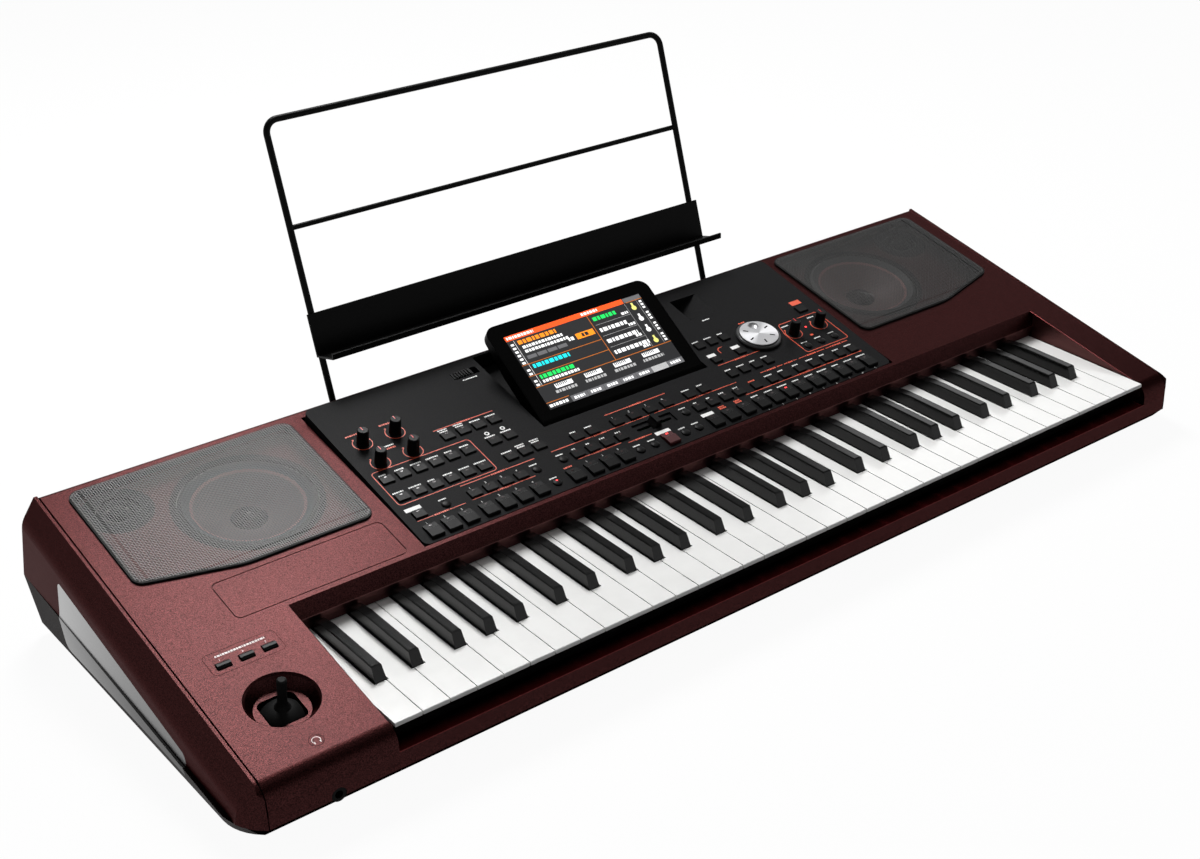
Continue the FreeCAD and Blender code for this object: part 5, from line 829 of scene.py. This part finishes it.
# Windows of button groups: places, rise from a button's middle, height of its top
SMALL_WINDOW = (2.6, SMALL_TOP)
BIG_WINDOW = (5.6, BIG_LOW_TOP)
WINDOWS = {
    "style_buttons": (STYLE, *SMALL_WINDOW), "mode_buttons": (MODE, *SMALL_WINDOW),
    "pad_buttons": (PADS + [CHORD], *SMALL_WINDOW),
    "player_buttons": (RECORD + PLAYER_ONE + PLAYER_TWO + KEYBOARD_SET, *SMALL_WINDOW),
    "page_buttons": (EXIT_MENU, *SMALL_WINDOW),
    "section_buttons": (INTRO + VARIATION + BREAK + ENDING, *BIG_WINDOW),
    "library_buttons": (TAP + LIBRARY, *BIG_WINDOW),
}
WINDOW_SIZE = (2.4, 1.3)
LIT_WINDOW = LIBRARY[2]
START_LAMP = (2.6, 1.5)
ROUND_LAMP = 0.9
ROUND_LAMP_PLACE = (ROUND[0][0], ROUND[0][1] + 1.2)
MIC_LAMP = 1.1
MIC_LAMP_PLACE = (225.4, 86.0)


def button_lenses():
    """Small windows at the back of the buttons; the lit ones glow red."""
    for body, (places, rise, top) in WINDOWS.items():
        dark = Sheet(body + "_windows", "led_dark", body, "button_black")
        lit = Sheet(body + "_lamp", "led", body, "button_black")
        for place in places:
            sheet = lit if place == LIT_WINDOW else dark
            centred(sheet, panel, place[0], place[1] + rise, *WINDOW_SIZE, top + PRINT_LIFT)
        dark.make()
        if lit.faces:
            lit.make()
    lamp = Sheet("start_stop_lamp", "led", "start_stop_button", "button_red")
    rise, top = BIG_WINDOW
    centred(lamp, panel, START_STOP[0], START_STOP[1] + rise, *START_LAMP, top + PRINT_LIFT)
    lamp.make()
    lamp = Sheet("round_button_lamp", "led", "round_buttons", "button_black")
    disc(lamp, panel, ROUND_LAMP_PLACE, ROUND_LAMP, SMALL_TOP + PRINT_LIFT)
    lamp.make()
    lamp = Sheet("mic_level_lamp", "led", "case", "charcoal_panel")
    disc(lamp, panel, MIC_LAMP_PLACE, MIC_LAMP, 2 * PRINT_LIFT)
    lamp.make()


# A knob's pointer, on its top and down its back: up the panel from the knob's middle, and height
POINTER_HALF = 0.48
POINTER_TOP = ((0.2, KNOB_TOP - 0.3), (4.6, KNOB_TOP - 0.3))
POINTER_BACK = ((4.93, KNOB_TOP - 4.0), (4.75, KNOB_TOP - 0.9))


def knob_pointers():
    """Red pointer in each knob's groove."""
    for body, (u, w) in KNOBS.items():
        pointer = Sheet(body + "_pointer", "pointer", body, "button_black")
        left = u - POINTER_HALF
        right = u + POINTER_HALF
        for (start, start_h), (end, end_h) in (POINTER_TOP, POINTER_BACK):
            pointer.polygon([panel(left, w + start, start_h), panel(right, w + start, start_h),
                             panel(right, w + end, end_h), panel(left, w + end, end_h)])
        pointer.make()


DIAL_NOTCHES = (20, 140, 200, 260, 320)
NOTCH_ENDS = (10.6, 15.8)
NOTCH_WIDTH = 1.5


def dial_marks():
    """Black radial notches in the value dial's face."""
    marks = Sheet("value_dial_marks", "groove", "value_dial", "dial_silver")
    for angle in DIAL_NOTCHES:
        notch = [polar(DIAL_CENTRE, radius, angle) for radius in NOTCH_ENDS]
        stroke(marks, panel, notch, NOTCH_WIDTH, DIAL_TOP + PRINT_LIFT)
    marks.make()


# Display contents, laid out in shares of the lit screen

SCREEN_LEFT = -77.6
SCREEN_LOW = 8.8
SCREEN_WIDTH = 154.0
SCREEN_HEIGHT = 84.0
SCREEN_H = DISPLAY_FACE + 0.05
BAR_LIFT = 0.03
NECK_LIFT = 0.035
WORD_LIFT = 0.06

# Bars: colour, left, low, right, high, lift, and repeats as (count, step across, step up)
PAGE_BARS = (
    ("dark", 0, 0, 1, 1, 0.0),
    ("orange", 0, 0.935, 0.865, 1, BAR_LIFT),
    ("grey", 0.87, 0.94, 1, 0.995, BAR_LIFT),
    ("amber", 0.435, 0.690, 0.565, 0.765, BAR_LIFT),
    ("white", 0.012, 0.612, 0.034, 0.640, BAR_LIFT, (6, 0, 0.05)),
    ("white", 0.012, 0.462, 0.034, 0.490, BAR_LIFT, (2, 0, 0.05)),
    ("white", 0.012, 0.312, 0.034, 0.340, BAR_LIFT, (2, 0, 0.05)),
    ("grey", 0.065, 0.655, 0.130, 0.700, BAR_LIFT, (4, 0.073, 0)),
    ("yellow", 0.905, 0.855, 0.920, 0.915, NECK_LIFT, (2, 0, -0.474)),
    ("white", 0.905, 0.697, 0.920, 0.757, NECK_LIFT, (2, 0, -0.158)),
    ("white", 0.968, 0.803, 0.988, 0.829, BAR_LIFT, (4, 0, -0.158), (3, 0, 0.042)),
    ("white", 0.115, 0.215, 0.240, 0.270, BAR_LIFT, (4, 0.215, 0)),
    ("dark", 0.123, 0.238, 0.129, 0.268, WORD_LIFT, (4, 0.215, 0), (7, 0.0125, 0)),
    ("grey", 0.165, 0, 0.2825, 0.075, BAR_LIFT, (5, 0.1195, 0)),
    ("pale", 0.7625, 0, 0.88, 0.075, BAR_LIFT),
    ("grey", 0.882, 0, 0.9995, 0.075, BAR_LIFT),
)
# Blocks in place of words: colour, left, middle, width, height, first block, and a repeat
PAGE_WORDS = (
    ("white", 0.01, 0.968, 0.19, 0.034, 1), ("white", 0.55, 0.968, 0.12, 0.034, 4),
    ("amber", 0.065, 0.882, 0.27, 0.052, 0), ("white", 0.075, 0.812, 0.29, 0.036, 2),
    ("white", 0.075, 0.755, 0.31, 0.036, 5), ("white", 0.375, 0.725, 0.045, 0.045, 3),
    ("dark", 0.475, 0.728, 0.05, 0.045, 6), ("cyan", 0.065, 0.555, 0.26, 0.05, 1),
    ("green", 0.065, 0.405, 0.24, 0.05, 3), ("white", 0.065, 0.345, 0.26, 0.036, 6),
    ("green", 0.605, 0.865, 0.17, 0.05, 0), ("white", 0.605, 0.707, 0.20, 0.05, 1),
    ("white", 0.605, 0.549, 0.23, 0.05, 2), ("white", 0.605, 0.391, 0.26, 0.05, 3),
    ("white", 0.805, 0.820, 0.05, 0.034, 2, (4, 0, -0.158)),
    ("pale", 0.1, 0.175, 0.155, 0.036, 0, (4, 0.215, 0)),
    ("white", 0.185, 0.038, 0.075, 0.034, 0, (5, 0.1195, 0)),
    ("white", 0.902, 0.038, 0.075, 0.034, 6), ("white", 0.01, 0.04, 0.13, 0.036, 2),
)
# Lines: width in millimetres and lift of each colour; then colour, from, to
LINE_STYLES = {"white": (0.35, BAR_LIFT), "line": (0.7, 0.04), "pale": (0.3, BAR_LIFT)}
FIELD_X = 7.0 / SCREEN_WIDTH
FIELD_LOW = 25.5 / SCREEN_HEIGHT
LIST_LOW = 26.0 / SCREEN_HEIGHT
LIST_HIGH = 78.0 / SCREEN_HEIGHT
PAGE_LINES = (
    ("white", (FIELD_X, FIELD_LOW), (FIELD_X, LIST_HIGH)),
    ("line", (0.0, 0.60), (0.58, 0.60)), ("line", (0.0, 0.45), (0.58, 0.45)),
    ("line", (0.0, 0.30), (1.0, 0.30)), ("line", (0.58, 0.30), (0.58, 0.935)),
    ("line", (0.88, 0.935), (1.0, 0.935)), ("line", (0.0, 0.085), (0.16, 0.085)),
    ("pale", (0.6, 0.785), (0.86, 0.785)), ("pale", (0.6, 0.627), (0.86, 0.627)),
    ("pale", (0.6, 0.469), (0.86, 0.469)), ("pale", (0.865, LIST_LOW), (0.865, LIST_HIGH)),
    ("pale", (0.955, LIST_LOW), (0.955, LIST_HIGH)),
)
# Round icons: colour and middle; their radius in millimetres
PAGE_ICONS = (("yellow", (0.912, 0.845)), ("white", (0.912, 0.687)),
              ("white", (0.912, 0.529)), ("yellow", (0.912, 0.371)))
ICON_RADIUS = 2.6


def screen_mm(u, w, h=0.0):
    """A point on the lit screen in millimetres from its lower left."""
    return display(SCREEN_LEFT + u, SCREEN_LOW + w, SCREEN_H + h)


def on_screen(x, y, h=0.0):
    """A point on the lit screen, from (0, 0) at its lower left to (1, 1)."""
    return screen_mm(x * SCREEN_WIDTH, y * SCREEN_HEIGHT, h)


def page_bar(sheet, left, low, right, high, lift, *repeats):
    """A bar and its repeats."""
    shifts = [(0, 0)]
    for count, across, up in repeats:
        shifts = [(x + across * step, y + up * step) for x, y in shifts for step in range(count)]
    for x, y in shifts:
        rectangle(sheet, on_screen, left + x, low + y, right + x, high + y, lift)


def page_words(sheet, left, middle, width, height, first, repeat=(1, 0, 0)):
    """A row of blocks and its repeats, each of which starts with the next block."""
    count, across, up = repeat
    for step in range(count):
        u = (left + across * step + width / 2) * SCREEN_WIDTH
        w = (middle + up * step) * SCREEN_HEIGHT
        dashes(sheet, screen_mm, u, w, width * SCREEN_WIDTH, height * SCREEN_HEIGHT, first + step, WORD_LIFT)


def screen():
    """A generic page: title bar, fields, part list, tabs."""
    sheets = {colour: Sheet("screen_" + colour, "screen_" + colour, "display", "display_glass")
              for colour in SCREEN_COLOURS}
    for colour, *bar in PAGE_BARS:
        page_bar(sheets[colour], *bar)
    for colour, *words in PAGE_WORDS:
        page_words(sheets[colour], *words)
    for colour, *ends in PAGE_LINES:
        points = [(x * SCREEN_WIDTH, y * SCREEN_HEIGHT) for x, y in ends]
        stroke(sheets[colour], screen_mm, points, *LINE_STYLES[colour])
    for colour, (x, y) in PAGE_ICONS:
        middle = (x * SCREEN_WIDTH, y * SCREEN_HEIGHT)
        disc(sheets[colour], screen_mm, middle, ICON_RADIUS, BAR_LIFT, steps=16)
    for sheet in sheets.values():
        sheet.make()


# Deck print: the frame round the switches (half its width, low, high), and the headphone sign

SWITCH_MIDDLE = -440.4
SWITCH_DIGITS = row(SWITCH_MIDDLE - 18.5, 18.5, 3, -26.8)
SWITCH_DIGIT_SIZE = 3.0
SWITCH_FRAME = (29.0, -41.0, -17.5)
SWITCH_CORNER = 4.0
SWITCH_LABEL = (SWITCH_MIDDLE, -22.4, 40.0, 1.9, 1)
FRAME_LINE = 0.35
SIGN_CENTRE = (SWITCH_MIDDLE + 0.6, -134.5)
SIGN_RING = 5.6
SIGN_RING_LINE = 0.4
SIGN_BAND = 3.2
SIGN_BAND_LINE = 0.5
SIGN_EAR_REACH = 2.3
SIGN_EAR = (0.9, 1.8)


def deck_print():
    """Thin outline and digits round the three switches, and the headphone sign."""
    white = Sheet("deck_white_print", "white_print", "case", "red_paint")
    black = Sheet("deck_groove_lines", "groove", "case", "red_paint")
    half, low, high = SWITCH_FRAME
    left = SWITCH_MIDDLE - half
    right = SWITCH_MIDDLE + half
    outline = round_corners([(left, low), (right, low), (right, high), (left, high)], SWITCH_CORNER)
    stroke(black, deck, outline, FRAME_LINE, closed=True)
    digits(white, deck, SWITCH_DIGITS, 0.0, SWITCH_DIGIT_SIZE)
    dashes(white, deck, *SWITCH_LABEL)
    stroke(black, deck, arc_points(SIGN_CENTRE, SIGN_RING, 0, 348, 28), SIGN_RING_LINE, closed=True)
    stroke(white, deck, arc_points(SIGN_CENTRE, SIGN_BAND, -40, 220, 20), SIGN_BAND_LINE)
    for side in (-1, 1):
        u = SIGN_CENTRE[0] + SIGN_EAR_REACH * side
        centred(white, deck, u, SIGN_CENTRE[1] - SIGN_EAR_REACH, *SIGN_EAR, 2 * PRINT_LIFT)
    white.make()
    black.make()


# Edges and seams of the case

RAIL_TOP = 36.0
BEAD_RADIUS = 0.5
BEAD_SIDES = 10
EDGE_BEVEL = 0.7
SEAM_X = 492.1
SEAM_NEAR = 0.22
SEAM_FAR = 1.02
SEAM_LIFT = 0.12
SEAM_STEPS = 16
CAP_CUT = 14.0 / 20.4
FRONT_RADIUS = 15.0
FRONT_DRAFT = 2.5


def bead(sheet, start, end):
    """A thin rounded edge from one point to another."""
    along = (Vector(end) - Vector(start)).normalized()
    across = along.cross(Vector((0, 0, 1))).normalized()
    up = across.cross(along)
    points = []
    for centre in (Vector(start), Vector(end)):
        for side in range(BEAD_SIDES):
            angle = 2 * math.pi * side / BEAD_SIDES
            points.append((centre + (across * math.cos(angle) + up * math.sin(angle)) * BEAD_RADIUS) * MM)
    faces = [[side, (side + 1) % BEAD_SIDES, BEAD_SIDES + (side + 1) % BEAD_SIDES, BEAD_SIDES + side]
             for side in range(BEAD_SIDES)]
    sheet.mesh(points, faces)


def case_edges():
    """Rounded edges of the rail and right block, painted highlight; the rail's ledge under the keys, painted
    shade.
    """
    # The beads' lighter red paints a highlight along the rounded edges.
    edges = Sheet("case_edge_beads", "edge", "case", "red_paint")
    front = FRONT_Y + BEAD_RADIUS
    back = FRONT_Y + RAIL_LEDGE
    bead(edges, (KEYS_LEFT, front, RAIL_TOP), (KEYS_RIGHT, front, RAIL_TOP))
    bead(edges, deck(KEYS_RIGHT + EDGE_BEVEL / 2, 0.0, -EDGE_BEVEL / 2) / MM,
         deck(KEYS_RIGHT + EDGE_BEVEL / 2, FRONT_RADIUS + FRONT_Y - DECK_Y, -EDGE_BEVEL / 2) / MM)
    edges.make()
    # A flat sheet on the rail's ledge that carries the painted shade under the keys.
    ledge = Sheet("painted_shade_rail_ledge", "ledge", "case", "red_paint")
    corners = ((KEYS_LEFT, front), (KEYS_RIGHT, front), (KEYS_RIGHT, back), (KEYS_LEFT, back))
    ledge.polygon([Vector((x, y, RAIL_TOP)) * MM for x, y in corners])
    ledge.make()


def end_seams():
    """The dark joints between the end caps and the case, down the front."""
    seams = Sheet("end_seams", "groove", "case", "red_paint")
    nose_z = DECK_Z + (FRONT_Y - DECK_Y) * math.tan(math.radians(DECK_ANGLE))
    corners = [(FRONT_Y, PARTING_FRONT), (FRONT_Y, nose_z), (DECK_Y, DECK_Z), (DECK_Y, PARTING_FRONT)]
    nose = [(y, z) for y, z in round_corners(corners, FRONT_RADIUS, SEAM_STEPS)
            if RAIL_TOP < z and y < FRONT_Y + FRONT_RADIUS]
    heights = [PARTING_FRONT + (RAIL_TOP - PARTING_FRONT) * step / SEAM_STEPS for step in range(SEAM_STEPS)]
    foot = [(FRONT_Y + FRONT_DRAFT * (1 - z / RAIL_TOP), z) for z in heights]
    line = foot + [(FRONT_Y, RAIL_TOP)] + nose

    def on_cap(side, out, y, z):
        cut_back = FRONT_Y + out * CAP_CUT
        return Vector((side * (SEAM_X + out), max(y, cut_back) - SEAM_LIFT, z + SEAM_LIFT)) * MM

    for side in (-1, 1):
        for here, after in zip(line, line[1:]):
            seams.polygon([on_cap(side, SEAM_NEAR, *here), on_cap(side, SEAM_FAR, *here),
                           on_cap(side, SEAM_FAR, *after), on_cap(side, SEAM_NEAR, *after)])
    seams.make()


# Grille mesh

GRILLE_INNER = 278.7
GRILLE_WIDTH = 194.5
GRILLE_BEND = 115.0
GRILLE_FRONT = 58.5
GRILLE_SIDE = 79.0
GRILLE_BACK = 204.0
GRILLE_CORNER = 9.0
WIRE_PITCH = 2.0
WIRE_WIDTH = 0.66
WIRE_WAVE = 0.15
WIRE_TOP = 2.4


def grille_outline():
    """The left grille's outline on the deck, corners rounded."""
    inner = -GRILLE_INNER
    outer = inner - GRILLE_WIDTH
    corners = [(outer, GRILLE_SIDE), (inner - GRILLE_BEND, GRILLE_FRONT), (inner, GRILLE_FRONT),
               (inner, GRILLE_BACK), (outer, GRILLE_BACK)]
    return round_corners(corners, GRILLE_CORNER)


def span(points, axis, value):
    """Where the line axis = value crosses an outline, lowest and highest."""
    other = 1 - axis
    crossings = []
    for index in range(len(points)):
        a = points[index - 1]
        b = points[index]
        if (a[axis] - value) * (b[axis] - value) < 0:
            share = (value - a[axis]) / (b[axis] - a[axis])
            crossings.append(a[other] + share * (b[other] - a[other]))
    return (min(crossings), max(crossings)) if len(crossings) >= 2 else None


def woven_wire(sheet, axis, value, low, high, phase, mirror):
    """One wire of the weave: a ribbon that rises and falls over the wires it crosses."""
    steps = max(2, int((high - low) / (WIRE_PITCH / 2)))
    points = []
    for step in range(steps + 1):
        along = low + (high - low) * step / steps
        lift = WIRE_TOP + WIRE_WAVE * math.cos(math.pi * along / WIRE_PITCH + phase * math.pi)
        for side in (-0.5, 0.5):
            edge = value + side * WIRE_WIDTH
            u, w = (along, edge) if axis == 1 else (edge, along)
            points.append(deck(mirror * u, w, lift))
    faces = [[2 * step, 2 * step + 1, 2 * step + 3, 2 * step + 2] for step in range(steps)]
    sheet.mesh(points, faces)


def grille_mesh():
    """Both woven grilles as one piece in place of the plain sheets."""
    sheet = Sheet("grille_weave", "wire", "case", "grille_metal")
    outline = grille_outline()
    for mirror in (1, -1):
        for axis in (0, 1):
            values = [point[axis] for point in outline]
            first = min(values) + WIRE_PITCH / 2
            count = int((max(values) - first) / WIRE_PITCH)
            for index in range(count + 1):
                value = first + index * WIRE_PITCH
                ends = span(outline, axis, value)
                if ends:
                    woven_wire(sheet, axis, value, *ends, index % 2, mirror)
    piece = sheet.make()
    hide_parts("speaker_grilles")


# Stage, in metres

FLOOR_REACH = 30.0
FLOOR_Z = -0.0003
FLOOR_WHITE = (0.9, 0.9, 0.9, 1)
FLOOR_BOUNCE = (0.14, 0.14, 0.14, 1)
FLOOR_GLOW = 0.95
WHITE = (1, 1, 1, 1)


def mix_shaders(tree, factor, first, second):
    """Mix the shaders of two nodes."""
    node = tree.add("MixShader", {"Fac": factor})
    tree.feed(node.inputs[1], first.outputs[0])
    tree.feed(node.inputs[2], second.outputs[0])
    return node


def seen_rays(tree):
    """1 for rays from the camera, from metal and through glass."""
    rays = tree.add("LightPath").outputs
    mirrored = tree.math("MAXIMUM", rays["Is Camera Ray"], rays["Is Glossy Ray"])
    return tree.math("MAXIMUM", mirrored, rays["Is Transmission Ray"])


def floor_material():
    """White with a soft shadow to the camera, mirrors and glass; a dim grey for everything else."""
    tree = Nodes(bpy.data.materials.new("floor_white"))
    tree.nodes.clear()
    shaded = tree.add("BsdfDiffuse", {"Color": FLOOR_WHITE})
    bounce = tree.add("BsdfDiffuse", {"Color": FLOOR_BOUNCE})
    lit = tree.add("Emission", {"Strength": 1.0})
    white = mix_shaders(tree, FLOOR_GLOW, shaded, lit)
    seen = mix_shaders(tree, seen_rays(tree), bounce, white)
    tree.add("OutputMaterial", {"Surface": seen.outputs[0]})
    return tree.data


def make_floor():
    """A white floor that keeps a soft shadow."""
    mesh = bpy.data.meshes.new("floor")
    signs = ((-1, -1), (1, -1), (1, 1), (-1, 1))
    mesh.from_pydata([(x * FLOOR_REACH, y * FLOOR_REACH, FLOOR_Z) for x, y in signs], [], [(0, 1, 2, 3)])
    floor = bpy.data.objects.new("floor", mesh)
    bpy.context.scene.collection.objects.link(floor)
    mesh.materials.append(floor_material())


# Brightness of the studio to the camera, mirrors and glass: white at the horizon, grey overhead
CEILING = 0.14
CEILING_FROM = 0.1
CEILING_TO = 0.55
AMBIENT = 0.08


def ceiling_fade(tree):
    """Brightness by how steeply a ray looks up."""
    coords = tree.add("TexCoord").outputs["Generated"]
    steepness = tree.add("SeparateXYZ", {"Vector": coords}).outputs["Z"]
    fade = tree.add("MapRange", {"Value": steepness, "From Min": CEILING_FROM, "From Max": CEILING_TO,
                                 "To Min": 1.0, "To Max": CEILING})
    fade.interpolation_type = "SMOOTHSTEP"
    return fade.outputs["Result"]


def make_world():
    """A white studio to the camera, mirrors and glass; a plain grey light for everything else."""
    world = bpy.data.worlds.new("studio")
    bpy.context.scene.world = world
    tree = Nodes(world)
    tree.nodes.clear()
    white = tree.add("Background", {"Color": WHITE, "Strength": ceiling_fade(tree)})
    ambient = tree.add("Background", {"Color": WHITE, "Strength": AMBIENT})
    mix = mix_shaders(tree, seen_rays(tree), ambient, white)
    tree.add("OutputWorld", {"Surface": mix.outputs[0]})


# Soft boxes that the left and right decks mirror, a wide top light and a weak front fill:
# place, target, size, watts
LIGHTS = {
    "key_box": ((0.22, 0.93, 1.7), (-0.35, 0.0, 0.1), (0.6, 0.8), 45.0),
    "right_box": ((2.1, 1.15, 1.7), (0.3, 0.0, 0.1), (1.2, 1.2), 7.0),
    "top_box": ((0.5, -0.3, 2.4), (0.4, 0.0, 0.1), (2.4, 1.6), 5.0),
    "front_fill": ((-1.2, -2.4, 1.0), (0.0, 0.0, 0.1), (1.8, 1.2), 1.5),
}


def make_lights():
    """Rectangular soft boxes, each aimed at a point."""
    for name, (place, target, size, power) in LIGHTS.items():
        data = bpy.data.lights.new(name, "AREA")
        data.shape = "RECTANGLE"
        data.size, data.size_y = size
        data.energy = power
        light = bpy.data.objects.new(name, data)
        bpy.context.scene.collection.objects.link(light)
        light.location = place
        light.rotation_euler = (Vector(target) - Vector(place)).to_track_quat("-Z", "Y").to_euler()


# Camera solved from the photograph's key edges: millimetres, degrees and pixels, its sight in metres
CAMERA_PLACE = (-879.2, -1192.8, 857.1)
CAMERA_AZIMUTH = 40.947
CAMERA_DOWN = 28.217
CAMERA_ROLL = 0.265
CAMERA_FOCAL_PX = 1814.7
CAMERA_CENTRE_PX = (760.14, 438.95)
CAMERA_SIGHT = 100.0
IMAGE_PX = (1200, 859)
SENSOR = 36.0


def make_camera():
    """The photograph's camera."""
    data = bpy.data.cameras.new("photo_camera")
    data.sensor_fit = "HORIZONTAL"
    data.sensor_width = SENSOR
    data.lens = CAMERA_FOCAL_PX / IMAGE_PX[0] * SENSOR
    data.shift_x = (IMAGE_PX[0] / 2 - CAMERA_CENTRE_PX[0]) / IMAGE_PX[0]
    data.shift_y = (CAMERA_CENTRE_PX[1] - IMAGE_PX[1] / 2) / IMAGE_PX[0]
    data.clip_end = CAMERA_SIGHT
    camera = bpy.data.objects.new("photo_camera", data)
    bpy.context.scene.collection.objects.link(camera)
    azimuth = math.radians(CAMERA_AZIMUTH)
    down = math.radians(CAMERA_DOWN)
    roll = math.radians(CAMERA_ROLL)
    forward = Vector((math.sin(azimuth) * math.cos(down), math.cos(azimuth) * math.cos(down),
                      -math.sin(down)))
    level_right = Vector((math.cos(azimuth), -math.sin(azimuth), 0))
    level_up = level_right.cross(forward)
    right = level_right * math.cos(roll) + level_up * math.sin(roll)
    up = right.cross(forward)
    turn = Matrix((right, up, -forward)).transposed()
    camera.matrix_world = Matrix.Translation(Vector(CAMERA_PLACE) * MM) @ turn.to_4x4()
    bpy.context.scene.camera = camera


paint_nodes()
panel_orange()
panel_white()
button_lenses()
knob_pointers()
dial_marks()
screen()
deck_print()
case_edges()
end_seams()
grille_mesh()
make_floor()
make_world()
make_lights()
make_camera()
bpy.context.scene.view_settings.view_transform = "Standard"
